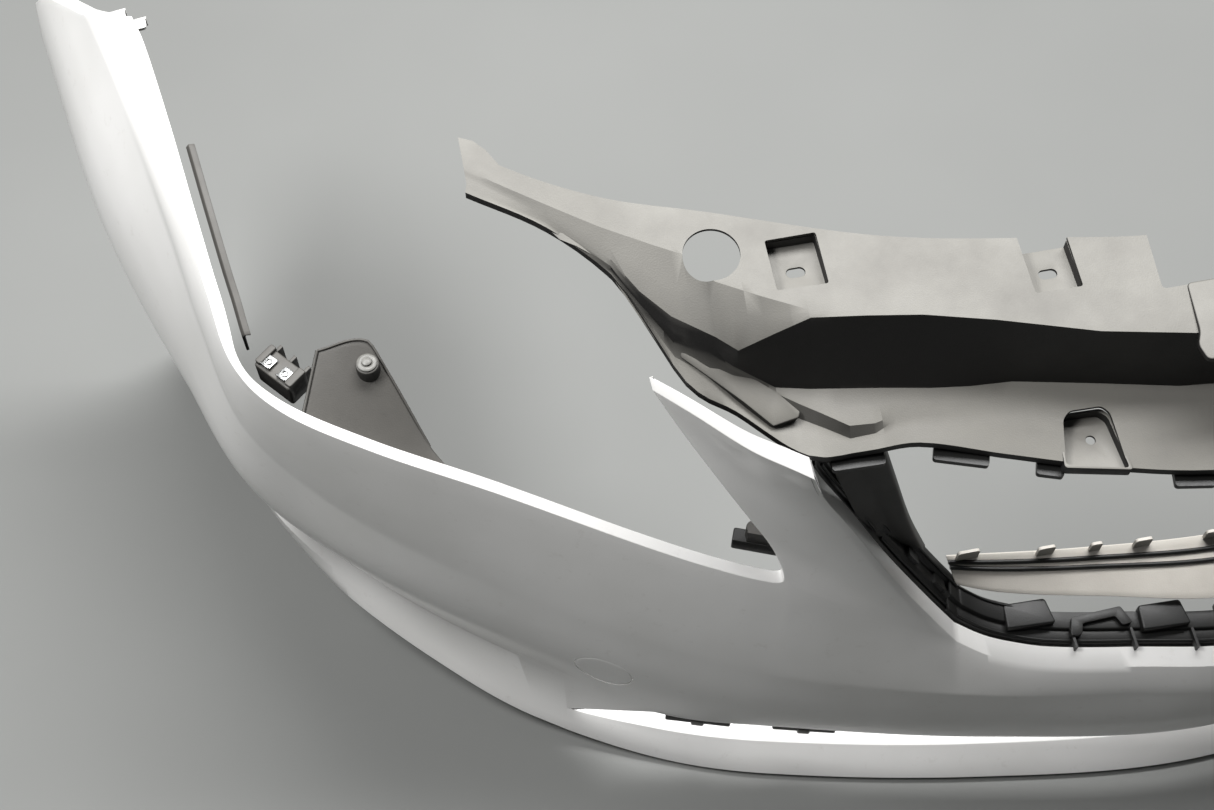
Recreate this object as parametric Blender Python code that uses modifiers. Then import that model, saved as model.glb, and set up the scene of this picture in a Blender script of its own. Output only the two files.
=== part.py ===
"""Front bumper cover of a passenger car, with the plastic pieces that stay clipped to it.

Metres, +Z up. The bumper faces -Y. Its origin is at the bottom centre of its bounding box, so it
stands on the floor on its lip and on the rear ends of its wings. Shape lines are written in
millimetres behind the nose for the half at -X, and the other half mirrors them.
"""
from bisect import bisect_right
from math import cos, pi, radians, sin

import bmesh
import bpy
from mathutils import Matrix, Vector

MM = 0.001
NOSE_Y = -0.36687          # puts the middle of the depth, nose to rear tips of the wings, at y = 0
SKIN = 0.0028              # wall of the painted moulding
PLATE = 0.0025             # wall of the black mouldings
FLANGE = 0.017             # depth of the rolled edge round the grille opening
LAMP_FLANGE = 0.010        # depth of the rolled edge round the headlight opening
SHELF = 0.045              # depth of the lip's top face inside the slot
BAND_RETURN = 0.020        # depth of the band's turned-in lower edge
FOOT_RETURN = 0.028        # depth of the turned-in foot
ARCH_RETURN = 0.014        # depth of the wheel-arch edge
CROWN = 0.003              # how far the face bows out between its crease and its top edge
LIP_CROWN = 0.0015         # how far the lip bows out between its two edges

# Stations run along the bumper: 0 at the centre, 9 at the corner, 14 at the wheel arch.
GRILLE_CORNER = 2.45
LAMP_CORNER = 4.0
SLOT_END = 5.0
PINCH = 5.7
LAST = 14.0

# Each line: station -> (x, y, z) in millimetres.
FOOT = {0: (0, 5, 0), 2: (-200, 28, 0), 4: (-395, 69, 0), 5: (-495, 104, 0), 6: (-595, 163, 0),
        7: (-672, 222, 2), 8: (-738, 295, 6), 9: (-780, 355, 10), 10: (-808, 408, 12),
        12: (-853, 508, 9), 13: (-870, 565, 4), 14: (-880, 640, 0)}
LIP = {0: (0, -3, 6), 2: (-200, 19, 6), 4: (-395, 60, 6), 5: (-495, 95, 7), 6: (-603, 153, 22),
       7: (-682, 213, 49), 8: (-756, 286, 72), 9: (-800, 352, 85), 10: (-826, 405, 95),
       12: (-869, 507, 98), 14: (-900, 620, 92)}
LEDGE = {0: (0, 24, 28), 2: (-200, 45, 28), 4: (-395, 85, 29), 5: (-495, 116, 35), 6: (-600, 167, 40),
         7: (-690, 244, 72), 8: (-755, 299, 92), 9: (-801, 342, 141), 10: (-826, 400, 146),
         12: (-869, 505, 142), 14: (-902.5, 617, 145)}
BAND = {0: (0, 7, 82), 2: (-200, 35, 82), 4: (-395, 82, 85), 5: (-495, 114, 88), 6: (-599, 189, 78),
        7: (-681, 250, 85), 8: (-747, 307, 99), 9: (-797, 345, 146), 10: (-824, 400, 151),
        12: (-868, 505, 148), 14: (-902, 617, 151)}
CHEEK_LOW = {0: (0, 5, 108), 2: (-200, 33, 110), 4: (-396, 80, 118), 5: (-497, 121, 126),
             6: (-603, 180, 140), 7: (-690, 234, 160), 8: (-761, 290, 182), 9: (-813, 337, 220),
             10: (-841, 400, 245), 12: (-888, 522, 272), 14: (-920, 649, 300)}
CHEEK = {0: (0, 3, 145), 2: (-200, 32, 147), 4: (-396, 80, 158), 5: (-498, 123, 170),
         6: (-604, 180, 188), 7: (-695, 232, 213), 8: (-768, 285, 240), 9: (-819, 331, 300),
         10: (-846, 398, 340), 12: (-897, 548, 395), 14: (-931, 742, 432)}
CREASE = {0: (0, 5, 190), 1: (-100, 19, 191), 2: (-200, 36, 195), 3: (-300, 58, 203), 4: (-395, 86, 213),
          5: (-495, 129, 228), 6: (-600, 185, 248), 7: (-690, 237, 280), 8: (-757, 285, 318),
          9: (-800, 325, 375), 10: (-816, 385, 432), 11: (-827, 450, 466), 12: (-843, 530, 488),
          13: (-860, 605, 500), 14: (-876, 664, 502)}
SILL = {0: (0, 18, 225), 1: (-100, 33, 225), 1.7: (-168, 46, 226), 2: (-200, 56, 229),
        2.2: (-222, 64, 235), 2.45: (-246, 76, 247)}
LAMP = {4: (-388, 118, 335), 4.3: (-428, 132, 343), 5: (-494, 162, 358), 6: (-604, 217, 388),
        7: (-695, 258, 416), 8: (-760, 294, 440), 9: (-791, 331, 461), 10: (-802, 388, 478),
        11: (-811, 450, 494), 12: (-822, 530, 509), 13: (-834, 604, 522), 14: (-842, 634, 526)}
# The three free sides of the horn, each from 0 to 1 in the direction that its name says.
GRILLE_SIDE_UP = {0: (-246, 76, 247), 0.15: (-268, 89, 277), 0.4: (-307, 110, 338), 0.68: (-343, 126, 408),
                  0.9: (-371, 134, 465), 1: (-382, 131, 505)}
LAMP_SIDE_UP = {0: (-388, 118, 335), 0.15: (-400, 138, 368), 0.35: (-418, 153, 402), 0.6: (-440, 172, 441),
                0.85: (-466, 199, 484), 1: (-484, 219, 517)}
HORN_TOP_OUT = {0: (-382, 131, 505), 0.12: (-395, 137, 512), 0.4: (-424, 158, 515), 0.75: (-459, 193, 518),
                1: (-484, 219, 517)}


def empty_scene():
    for old in list(bpy.data.objects):
        bpy.data.objects.remove(old, do_unlink=True)


def collection(name):
    made = bpy.data.collections.new(name)
    bpy.context.scene.collection.children.link(made)
    return made


def on_line(line, at):
    """Point of a shape line at a station: a smooth curve through its points, level at the centre."""
    keys = sorted(line)
    points = [Vector(line[key]) * MM for key in keys]
    last = len(keys) - 1
    low = min(max(bisect_right(keys, at) - 1, 0), last - 1)

    def slope(index):
        if index == 0 and keys[0] == 0 and points[0].x == 0:
            return Vector(((points[1].x - points[0].x) / (keys[1] - keys[0]), 0, 0))
        before, after = max(index - 1, 0), min(index + 1, last)
        return (points[after] - points[before]) / (keys[after] - keys[before])

    span = keys[low + 1] - keys[low]
    t = (at - keys[low]) / span
    return (points[low] * (2 * t**3 - 3 * t**2 + 1) + slope(low) * span * (t**3 - 2 * t**2 + t)
            + points[low + 1] * (3 * t**2 - 2 * t**3) + slope(low + 1) * span * (t**3 - t**2))


def steps(start, end, count):
    return [start + (end - start) * index / count for index in range(count + 1)]


def lay_grid(mesh, rows):
    """Add faces between rows of points that all have the same length."""
    placed = [[mesh.verts.new(point) for point in row] for row in rows]
    for lower, upper in zip(placed, placed[1:]):
        for a, b, c, d in zip(lower, lower[1:], upper[1:], upper):
            mesh.faces.new((a, b, c, d))


def coons(bottom, top, left, right):
    """Rows of points that fill four edge curves: bottom and top run the same way, left and right go up."""
    across, up = len(bottom) - 1, len(left) - 1
    rows = []
    for j in range(up + 1):
        v = j / up
        row = []
        for i in range(across + 1):
            u = i / across
            ruled = bottom[i] * (1 - v) + top[i] * v + left[j] * (1 - u) + right[j] * u
            corners = ((bottom[0] * (1 - u) + bottom[-1] * u) * (1 - v)
                       + (top[0] * (1 - u) + top[-1] * u) * v)
            row.append(ruled - corners)
        rows.append(row)
    return rows


def inward(line, at):
    """Level direction from a shape line into the bumper."""
    ahead = on_line(line, min(at + 0.05, LAST))
    behind = on_line(line, max(at - 0.05, 0))
    along = ahead - behind
    return Vector((-along.y, along.x, 0)).normalized() * -1


def cheek_rows(at, count):
    """Points from the band's lower edge up to the crease at one station."""
    column = {0: BAND, 1: CHEEK_LOW, 2: CHEEK, 3: CREASE}
    line = {key: tuple(on_line(shape, at) / MM) for key, shape in column.items()}
    return [on_line(line, v) for v in steps(0, 3, count)]


def face_rows(at, top, count):
    """Points from the crease up to the top edge at one station, bowed out a little."""
    foot, head = on_line(CREASE, at), top
    out = -inward(CREASE, at)
    return [foot.lerp(head, v) + out * CROWN * 4 * v * (1 - v) for v in steps(0, 1, count)]


def columns_to_rows(columns):
    return [list(row) for row in zip(*columns)]


def flange_rows(edge, directions, widths):
    far = [point + way * width for point, way, width in zip(edge, directions, widths)]
    return [list(edge), far]


def fade(at, start, end):
    t = min(max((at - start) / (end - start), 0), 1)
    return t * t * (3 - 2 * t)


def lamp_flange_way(at):
    """The rolled edge runs straight back under the headlight and turns inward along the wing."""
    back = Vector((0.05, 0.94, 0.25))
    across = Vector((0.85, 0.2, -0.35))
    return back.lerp(across, fade(at, 8.4, 10)).normalized()


def slot_edge(at):
    """Lower edge of the patch that joins band and lip, slanted where it closes the slot."""
    if at >= PINCH:
        return on_line(LEDGE, at)
    return on_line(BAND, SLOT_END).lerp(on_line(LEDGE, PINCH), (at - SLOT_END) / (PINCH - SLOT_END))


def skin_surface(density, cheek, face, horn):
    """Open outer surface of the half at -X, as a bmesh. The counts set how fine it is."""
    mesh = bmesh.new()
    sill_at = steps(0, 2, 2 * density) + steps(2, GRILLE_CORNER, density)[1:]
    horn_at = steps(GRILLE_CORNER, LAMP_CORNER, 3 * density)
    lamp_at = steps(LAMP_CORNER, SLOT_END, density)
    join_at = steps(SLOT_END, PINCH, density)
    rear_at = steps(PINCH, 6, 1) + steps(6, LAST, int(7 * density))[1:]
    outer_at = lamp_at + join_at[1:] + rear_at[1:]
    all_at = sill_at + horn_at[1:] + outer_at[1:]

    lay_grid(mesh, columns_to_rows([cheek_rows(at, cheek) for at in all_at]))
    lay_grid(mesh, columns_to_rows([face_rows(at, on_line(SILL, at), face) for at in sill_at]))
    lay_grid(mesh, columns_to_rows([face_rows(at, on_line(LAMP, at), face) for at in outer_at]))

    up = steps(0, 1, horn)
    left = face_rows(GRILLE_CORNER, on_line(SILL, GRILLE_CORNER), face)
    left += [on_line(GRILLE_SIDE_UP, v) for v in up[1:]]
    right = face_rows(LAMP_CORNER, on_line(LAMP, LAMP_CORNER), face)
    right += [on_line(LAMP_SIDE_UP, v) for v in up[1:]]
    bottom = [on_line(CREASE, at) for at in horn_at]
    top = [on_line(HORN_TOP_OUT, v) for v in steps(0, 1, len(horn_at) - 1)]
    lay_grid(mesh, coons(bottom, top, left, right))

    patch_at = join_at + rear_at[1:]
    lay_grid(mesh, [[slot_edge(at) for at in patch_at], [on_line(BAND, at) for at in patch_at]])
    lip = []
    for at in all_at:
        ledge, edge, foot = (on_line(line, at) for line in (LEDGE, LIP, FOOT))
        foot.z = max(foot.z, 0)
        toe = foot + inward(FOOT, at) * FOOT_RETURN
        lip.append([toe, foot, edge, ledge.lerp(edge, 0.45) - inward(LIP, at) * LIP_CROWN, ledge])
    lay_grid(mesh, columns_to_rows(lip))

    add_flanges(mesh, sill_at, outer_at, up, len(horn_at) - 1, cheek, face)
    slot_at = [at for at in all_at if at <= SLOT_END]
    edge = [on_line(BAND, at) for at in slot_at]
    widths = [BAND_RETURN * (1 - fade(at, 4.4, SLOT_END)) for at in slot_at]
    lay_grid(mesh, flange_rows(edge, [Vector((0, 0.99, 0.12))] * len(edge), widths))
    shelf_at = [at for at in all_at if at <= PINCH]
    edge = [on_line(LEDGE, at) for at in shelf_at]
    widths = [SHELF * (1 - fade(at, 4.9, PINCH)) for at in shelf_at]
    lay_grid(mesh, flange_rows(edge, [Vector((0, 1, -0.06))] * len(edge), widths))

    bmesh.ops.remove_doubles(mesh, verts=mesh.verts, dist=0.00002)
    bmesh.ops.dissolve_degenerate(mesh, edges=mesh.edges, dist=0.00001)
    bmesh.ops.recalc_face_normals(mesh, faces=mesh.faces)
    mesh.faces.ensure_lookup_table()
    if mesh.faces[0].normal.y > 0:
        bmesh.ops.reverse_faces(mesh, faces=mesh.faces)
    return mesh


def add_flanges(mesh, sill_at, outer_at, up, across, cheek, face):
    """Rolled edge round the grille and headlight openings, along the wing and down the wheel arch."""
    back = Vector((0, 0.94, 0.33))
    behind = Vector((0.12, 0.99, 0.05))
    tip = Vector((-0.1, 0.86, 0.5))
    edge = [on_line(SILL, at) for at in sill_at]
    ways = [back.lerp(behind, fade(at, 2, GRILLE_CORNER)) for at in sill_at]
    edge += [on_line(GRILLE_SIDE_UP, v) for v in up[1:]]
    ways += [behind.lerp(tip, fade(v, 0.8, 1)) for v in up[1:]]
    top = steps(0, 1, across)
    edge += [on_line(HORN_TOP_OUT, v) for v in top[1:]]
    ways += [tip] * across
    edge += [on_line(LAMP_SIDE_UP, v) for v in reversed(up[:-1])]
    ways += [tip.lerp(behind, fade(1 - v, 0, 0.3)).lerp(Vector((0.05, 0.94, 0.25)), fade(1 - v, 0.7, 1))
             for v in reversed(up[:-1])]
    edge += [on_line(LAMP, at) for at in outer_at[1:]]
    ways += [lamp_flange_way(at) for at in outer_at[1:]]
    wide = len(sill_at) + len(up) - 1
    widths = [FLANGE] * wide + [FLANGE + (LAMP_FLANGE - FLANGE) * v for v in top[1:]]
    widths += [LAMP_FLANGE] * (len(edge) - len(widths))
    lay_grid(mesh, flange_rows(edge, [way.normalized() for way in ways], widths))

    arch = list(reversed(face_rows(LAST, on_line(LAMP, LAST), face)))
    arch += list(reversed(cheek_rows(LAST, cheek)))[1:]
    arch += [on_line(LEDGE, LAST), on_line(LEDGE, LAST).lerp(on_line(LIP, LAST), 0.45)
             - inward(LIP, LAST) * LIP_CROWN, on_line(LIP, LAST), on_line(FOOT, LAST)]
    inner = lamp_flange_way(LAST)
    count = len(arch) - 1
    ways = [inner.lerp(Vector((1, 0.1, 0)), fade(index, 0, 4)).normalized() for index in range(count + 1)]
    widths = [LAMP_FLANGE + (ARCH_RETURN - LAMP_FLANGE) * fade(index, 0, 4) for index in range(count)] + [0]
    lay_grid(mesh, flange_rows(arch, ways, widths))


# ---------------------------------------------------------------- tools for the pieces

def material(name, colour, roughness, metallic=0.0):
    made = bpy.data.materials.new(name)
    made.use_nodes = True
    shader = made.node_tree.nodes["Principled BSDF"]
    shader.inputs["Base Color"].default_value = (*colour, 1)
    shader.inputs["Roughness"].default_value = roughness
    shader.inputs["Metallic"].default_value = metallic
    return made


def finish_mesh(name, mesh, finish, group, nose, place=None):
    """Turn a bmesh into a named object that is parented to the nose empty."""
    data = bpy.data.meshes.new(name)
    mesh.to_mesh(data)
    mesh.free()
    made = bpy.data.objects.new(name, data)
    group.objects.link(made)
    made.parent = nose
    if place is not None:
        made.matrix_local = place
    if finish is not None:
        data.materials.append(finish)
    return made


def facing(mesh, way):
    """Point an open surface's faces to one side, judged by their total area."""
    bmesh.ops.recalc_face_normals(mesh, faces=mesh.faces)
    total = sum((face.normal * face.calc_area() for face in mesh.faces), Vector())
    if total.dot(way) < 0:
        bmesh.ops.reverse_faces(mesh, faces=mesh.faces)


def box(mesh, centre, size, turn=0.0):
    """Box in millimetres; turn is in degrees about Z."""
    place = Matrix.Translation(Vector(centre) * MM) @ Matrix.Rotation(radians(turn), 4, "Z")
    bmesh.ops.create_cube(mesh, size=1, matrix=place @ Matrix.Diagonal((*(Vector(size) * MM), 1)))


def disc(mesh, centre, radius, height, sides=24, place=None):
    """Upright cylinder in millimetres."""
    middle = Matrix.Translation(Vector(centre) * MM)
    if place is not None:
        middle = place @ middle
    bmesh.ops.create_cone(mesh, cap_ends=True, segments=sides, radius1=radius * MM, radius2=radius * MM,
                          depth=height * MM, matrix=middle)


def cup(mesh, centre, size, wall, turn=0.0, floor=None):
    """Open-topped tray in millimetres: a box whose top face is inset and pushed down to its floor."""
    box(mesh, centre, size, turn)
    mesh.faces.ensure_lookup_table()
    top = max(mesh.faces[-6:], key=lambda face: face.calc_center_median().z)
    bmesh.ops.inset_individual(mesh, faces=[top], thickness=wall * MM)
    bmesh.ops.translate(mesh, verts=top.verts, vec=(0, 0, -(size[2] - (floor or wall)) * MM))


def slot_plug(mesh, centre, length, width, height):
    """Upright body with a slot's outline, for cutting: a cylinder whose two halves are pulled apart."""
    sides = 16
    middle = Vector(centre) * MM
    before = set(mesh.verts)
    bmesh.ops.create_cone(mesh, cap_ends=True, segments=sides, radius1=width / 2 * MM, radius2=width / 2 * MM,
                          depth=height * MM, matrix=Matrix.Rotation(pi / sides, 4, "Z"))
    for vert in set(mesh.verts) - before:
        vert.co.x += (1 if vert.co.x > 0 else -1) * (length - width) / 2 * MM
        vert.co += middle


def combine(target, tool_mesh, tool_name, tools, nose, operation):
    """Boolean with a mesh of cutting or joining bodies, kept in the cutters' collection."""
    bmesh.ops.recalc_face_normals(tool_mesh, faces=tool_mesh.faces)
    tool = finish_mesh(tool_name, tool_mesh, None, tools, nose)
    tool.hide_render = True
    tool.display_type = "WIRE"
    step = target.modifiers.new(operation.title(), "BOOLEAN")
    step.operation = operation
    step.object = tool
    step.solver = "EXACT"


def thicken(target, wall, offset=-1.0):
    solid = target.modifiers.new("Wall", "SOLIDIFY")
    solid.thickness = wall
    solid.offset = offset


def plate(name, rows, wall, way, finish, group, nose, offset=-1.0):
    """Sheet-like moulding lofted through rows of points, its faces towards way before it gets its wall."""
    mesh = bmesh.new()
    lay_grid(mesh, rows)
    bmesh.ops.remove_doubles(mesh, verts=mesh.verts, dist=0.00002)
    facing(mesh, Vector(way))
    made = finish_mesh(name, mesh, finish, group, nose)
    thicken(made, wall, offset)
    return made


def shifted(point, x, y, z):
    """A point moved by millimetres."""
    return point + Vector((x, y, z)) * MM


def to_side(rows, side):
    """Rows written for the -X half, moved to the side that is asked for."""
    return [[Vector((point.x * -side, point.y, point.z)) for point in row] for row in rows]


def mirrored(mesh, side):
    """Turn a closed body written for the -X half over to the side that is asked for."""
    if side > 0:
        for vert in mesh.verts:
            vert.co.x = -vert.co.x
        bmesh.ops.reverse_faces(mesh, faces=mesh.faces)
    return mesh


SIDES = {"right": -1, "left": 1}     # the car's own right is at -X

# ---------------------------------------------------------------- painted skin and its round cover

TOW_STATION = 5.36
TOW_HEIGHT = 1.33                    # between CHEEK_LOW at 1 and CHEEK at 2
TOW_RADIUS = 27.0
TOW_GAP = 0.6


def band_point(at, v):
    column = {0: BAND, 1: CHEEK_LOW, 2: CHEEK, 3: CREASE}
    return on_line({key: tuple(on_line(line, at) / MM) for key, line in column.items()}, v)


def tow_frame():
    """Place on the band with +Z along its outward normal."""
    centre = band_point(TOW_STATION, TOW_HEIGHT)
    along = band_point(TOW_STATION + 0.05, TOW_HEIGHT) - band_point(TOW_STATION - 0.05, TOW_HEIGHT)
    upward = band_point(TOW_STATION, TOW_HEIGHT + 0.05) - band_point(TOW_STATION, TOW_HEIGHT - 0.05)
    out = along.cross(upward).normalized()
    if out.y > 0:
        out.negate()
    along.normalize()
    turn = Matrix((along, out.cross(along), out)).transposed().to_4x4()
    return Matrix.Translation(centre) @ turn


def skin_object(name, finish, group, nose):
    made = finish_mesh(name, skin_surface(density=2, cheek=5, face=1, horn=5), finish, group, nose)
    mirror = made.modifiers.new("Other half", "MIRROR")
    mirror.merge_threshold = 0.0001
    edges = made.modifiers.new("Rolled edges", "BEVEL")
    edges.width = 0.003
    edges.segments = 1
    edges.limit_method = "ANGLE"
    edges.angle_limit = radians(38)
    thicken(made, SKIN)
    return made


def build_skin(paint, group, tools, nose):
    skin = skin_object("main_skin", paint, group, nose)
    hole = bmesh.new()
    disc(hole, (0, 0, 0), TOW_RADIUS + TOW_GAP, 40, 32, tow_frame())
    combine(skin, hole, "tow_hole_cutter", tools, nose, "DIFFERENCE")

    cover = skin_object("tow_eye_cover", paint, group, nose)
    keep = bmesh.new()
    disc(keep, (0, 0, 0), TOW_RADIUS, 40, 32, tow_frame())
    combine(cover, keep, "tow_cover_outline", tools, nose, "INTERSECT")
    legs = bmesh.new()
    for angle in (30, 150, 270):
        spot = (cos(radians(angle)) * (TOW_RADIUS - 7), sin(radians(angle)) * (TOW_RADIUS - 7), -5.5)
        place = tow_frame() @ Matrix.Translation(Vector(spot) * MM) @ Matrix.Rotation(radians(angle), 4, "Z")
        bmesh.ops.create_cube(legs, size=1, matrix=place @ Matrix.Diagonal((0.002, 0.008, 0.009, 1)))
    combine(cover, legs, "tow_cover_legs", tools, nose, "UNION")


# ---------------------------------------------------------------- upper shroud

# Distance from the centre -> (x, y, z) in millimetres.
SHROUD_REAR = {0: (0, 240, 580), 112: (-112, 243, 580), 170: (-170, 252, 580), 300: (-300, 278, 580),
               430: (-430, 324, 582), 500: (-500, 348, 585), 566: (-566, 387, 588), 574: (-574, 402, 589),
               582: (-582, 411, 590), 592: (-592, 416, 590)}
FACET_TOP = {0: (0, 157, 575.4), 105: (-105, 166, 575.4), 170: (-170, 181, 575.4), 240: (-240, 204, 575.4),
             290: (-290, 218, 575.4), 330: (-330, 225, 575.4), 369: (-369, 231, 575.6), 400: (-401, 248, 577),
             430: (-430, 265, 578), 449: (-449, 291, 580), 470: (-470, 304, 580), 503: (-503, 325, 580.5),
             540: (-541, 352, 583), 566: (-566, 370, 585), 592: (-592, 390, 586.5)}
WALL_TOP = {0: (0, 152, 575), 105: (-105, 161, 575), 170: (-170, 175, 575), 240: (-240, 198, 575),
            290: (-290, 212, 575), 330: (-330, 219, 575), 369: (-369, 225, 574.5), 395: (-396, 222, 565),
            422: (-422, 219, 555), 436: (-436, 232, 557), 464: (-464, 253, 560), 483: (-483, 275, 565),
            500: (-499, 302, 571), 540: (-539, 343, 579), 592: (-592, 385, 585)}
WALL_FOOT = {0: (0, 139, 515), 105: (-103, 150, 515), 170: (-168, 165, 515), 223: (-223, 177, 515),
             254: (-254, 179, 515), 283: (-283, 183, 515), 313: (-313, 189, 515), 370: (-370, 199, 515),
             395: (-395, 204, 517), 425: (-425, 218, 535), 440: (-440, 228, 545), 464: (-464, 242, 546),
             483: (-483, 268, 556), 500: (-500, 298, 568.5), 540: (-540, 340, 577), 592: (-592, 378, 583.5)}
SHROUD_FRONT = {0: (0, 76, 500), 105: (-105, 88, 500), 170: (-170, 104, 500), 240: (-240, 127, 501),
                300: (-300, 146, 505), 340: (-340, 149, 500), 382: (-382, 153, 502), 430: (-428, 190, 518),
                464: (-460, 215, 529), 483: (-484, 262, 553), 500: (-500, 293, 564), 540: (-540, 335, 575),
                592: (-594, 372, 582)}
SHROUD_LINES = (SHROUD_REAR, FACET_TOP, WALL_TOP, WALL_FOOT, SHROUD_FRONT)
SHROUD_HOLE = (-428, 287)
SHROUD_HOLE_RADIUS = 20.5
TOP_POCKETS = ((-368, 270, 37, 42), (-189, 234, 36, 42))        # x, y, width, depth
LEDGE_POCKET = (-173, 124, 36, 50)
POCKET_DROP = 12
NOTCH = (234, 197)                                             # width and front end of the latch notch
LATCH_PLATE = (198, 134, 193)                                  # width, front and rear of the latch plate


def shroud_columns():
    near = [0, 56, 105, 112, 150, 190, 230, 260, 290, 317, 345, 369, 395, 422, 436]
    return near + [450, 464, 483, 500, 520, 540, 566, 574, 582, 592]


def shroud_rows(spans):
    """Rows of points across the whole width; spans gives the steps between the shape lines."""
    half = shroud_columns()
    rows = []
    for (first, second), count in zip(zip(SHROUD_LINES, SHROUD_LINES[1:]), spans):
        for v in steps(0, 1, count)[:-1]:
            rows.append([on_line(first, at).lerp(on_line(second, at), v) for at in half])
    front = [on_line(SHROUD_FRONT, at) for at in half]
    rows.append(front)
    rows.append([shifted(point, 0, -0.8, -6) for point in front])
    return [[Vector((-point.x, point.y, point.z)) for point in reversed(row[1:])] + row for row in rows]


def build_shroud(black, group, tools, nose):
    shroud = plate("upper_shroud", shroud_rows((2, 1, 1, 2)), PLATE, (0, -0.4, 1), black, group, nose)
    openings = bmesh.new()
    trays = bmesh.new()
    holes = bmesh.new()
    box(openings, (0, NOTCH[1] + 40, 580), (NOTCH[0], 80, 30))
    for side in (-1, 1):
        disc(openings, (-side * SHROUD_HOLE[0], SHROUD_HOLE[1], 580), SHROUD_HOLE_RADIUS, 30)
        for x, y, width, depth in TOP_POCKETS:
            box(openings, (-side * x, y, 580), (width, depth, 20))
            cup(trays, (-side * x, y, 574.2), (width + 3, depth + 3, POCKET_DROP), PLATE / MM)
            slot_plug(holes, (-side * (x + 1), y - 1, 570), 14, 8, 12)
        x, y, width, depth = LEDGE_POCKET
        box(openings, (-side * x, y, 512), (width, depth, 26))
        cup(trays, (-side * x, y, 504), (width + 3, depth + 3, 17), PLATE / MM)
        disc(holes, (-side * x, y + 5, 500), 3.6, 12, 16)
    width, front, rear = LATCH_PLATE
    box(trays, (0, (front + rear) / 2, 576.5), (width, rear - front, 5))
    combine(shroud, openings, "shroud_openings_cutter", tools, nose, "DIFFERENCE")
    combine(shroud, trays, "shroud_trays", tools, nose, "UNION")
    combine(shroud, holes, "shroud_holes_cutter", tools, nose, "DIFFERENCE")


# ---------------------------------------------------------------- grille frame

FRAME_LOWER_END = 2.4
FRAME_SIDE_REACH = (0.1, 0.93)
FRAME_BLOCKS = (0, 66, 121, 179)                 # distance of each bottom block from the centre
BLOCK_SIZE = (36, 20, 16)
BLOCK_FLOOR = 9


def sill_section(point):
    """Section of the lower frame behind one point of the opening's edge: a wall and a shelf."""
    return [shifted(point, 0, 19.5, -12), shifted(point, 0, 19.5, 7), shifted(point, 0, 46, 10)]


def side_section(point):
    """Section of the side frame behind one point of the opening's edge: a web and a turned-in lip."""
    return [shifted(point, 0, 20, 0), shifted(point, 0, 40, 0), shifted(point, 15, 41, -3)]


def build_lower_frame(black, group, tools, nose):
    columns = [sill_section(on_line(SILL, at)) for at in steps(0, FRAME_LOWER_END, 9)]
    other = to_side(columns, 1)
    rows = columns_to_rows(list(reversed(other[1:])) + columns)
    frame = plate("grille_frame_lower", rows, PLATE, (0, 0, 1), black, group, nose)
    blocks = bmesh.new()
    for index, away in enumerate(FRAME_BLOCKS):
        for side in ((-1, 1) if away else (1,)):
            spot = on_line(SILL, away / 100)
            centre = (side * away, spot.y / MM + 36, spot.z / MM + 11.5)
            if index % 2:
                box(blocks, centre, BLOCK_SIZE, side * 8)
            else:
                cup(blocks, centre, BLOCK_SIZE, 2.2, side * 8, BLOCK_FLOOR)
    combine(frame, blocks, "grille_frame_blocks", tools, nose, "UNION")


def build_side_frame(name, side, black, group, tools, nose):
    columns = [side_section(on_line(GRILLE_SIDE_UP, v)) for v in steps(*FRAME_SIDE_REACH, 8)]
    rows = to_side(columns_to_rows(columns), side)
    frame = plate(name, rows, PLATE, (-side, 0, 0), black, group, nose)
    clips = bmesh.new()
    for v in (0.2, 0.42, 0.64, 0.86):
        spot = on_line(GRILLE_SIDE_UP, v) / MM
        box(clips, (-side * (spot.x + 7), spot.y + 41, spot.z), (16, 9, 20))
    combine(frame, clips, name + "_clips", tools, nose, "UNION")


UPPER_FRAME_REACH = 350
UPPER_FRAME_TABS = ((342, 36), (272, 44), (210, 22), (112, 32))     # distance from the centre, width


def build_upper_frame(black, group, tools, nose):
    half = steps(0, UPPER_FRAME_REACH, 10)
    front = [on_line(SHROUD_FRONT, at) for at in half]
    columns = [[shifted(point, 0, 4, -11), shifted(point, 0, 20, -11), shifted(point, 0, 20, -22)]
               for point in front]
    other = to_side(columns, 1)
    rows = columns_to_rows(list(reversed(other[1:])) + columns)
    frame = plate("grille_frame_upper", rows, PLATE, (0, 0, 1), black, group, nose)
    tabs = bmesh.new()
    for away, width in UPPER_FRAME_TABS:
        spot = on_line(SHROUD_FRONT, away) / MM
        ahead = on_line(SHROUD_FRONT, away - 5) / MM
        turn = (spot.y - ahead.y) / (ahead.x - spot.x) * 180 / pi
        for side in (-1, 1):
            box(tabs, (side * away, spot.y, spot.z - 12.5), (width, 14, 5), side * turn)
    combine(frame, tabs, "grille_frame_tabs", tools, nose, "UNION")


# ---------------------------------------------------------------- air guides

GUIDE_FRONT = {0: (0, 70, 250), 120: (-120, 92, 250), 200: (-200, 110, 252), 250: (-250, 126, 262)}
GUIDE_REAR = {0: (0, 119, 275), 130: (-130, 128, 275), 250: (-257, 143, 278)}
GUIDE_REACH = 236
GUIDE_TABS = ((14, 18), (77, 15), (117, 10), (158, 15), (220, 19))   # distance from the centre, width


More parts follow.
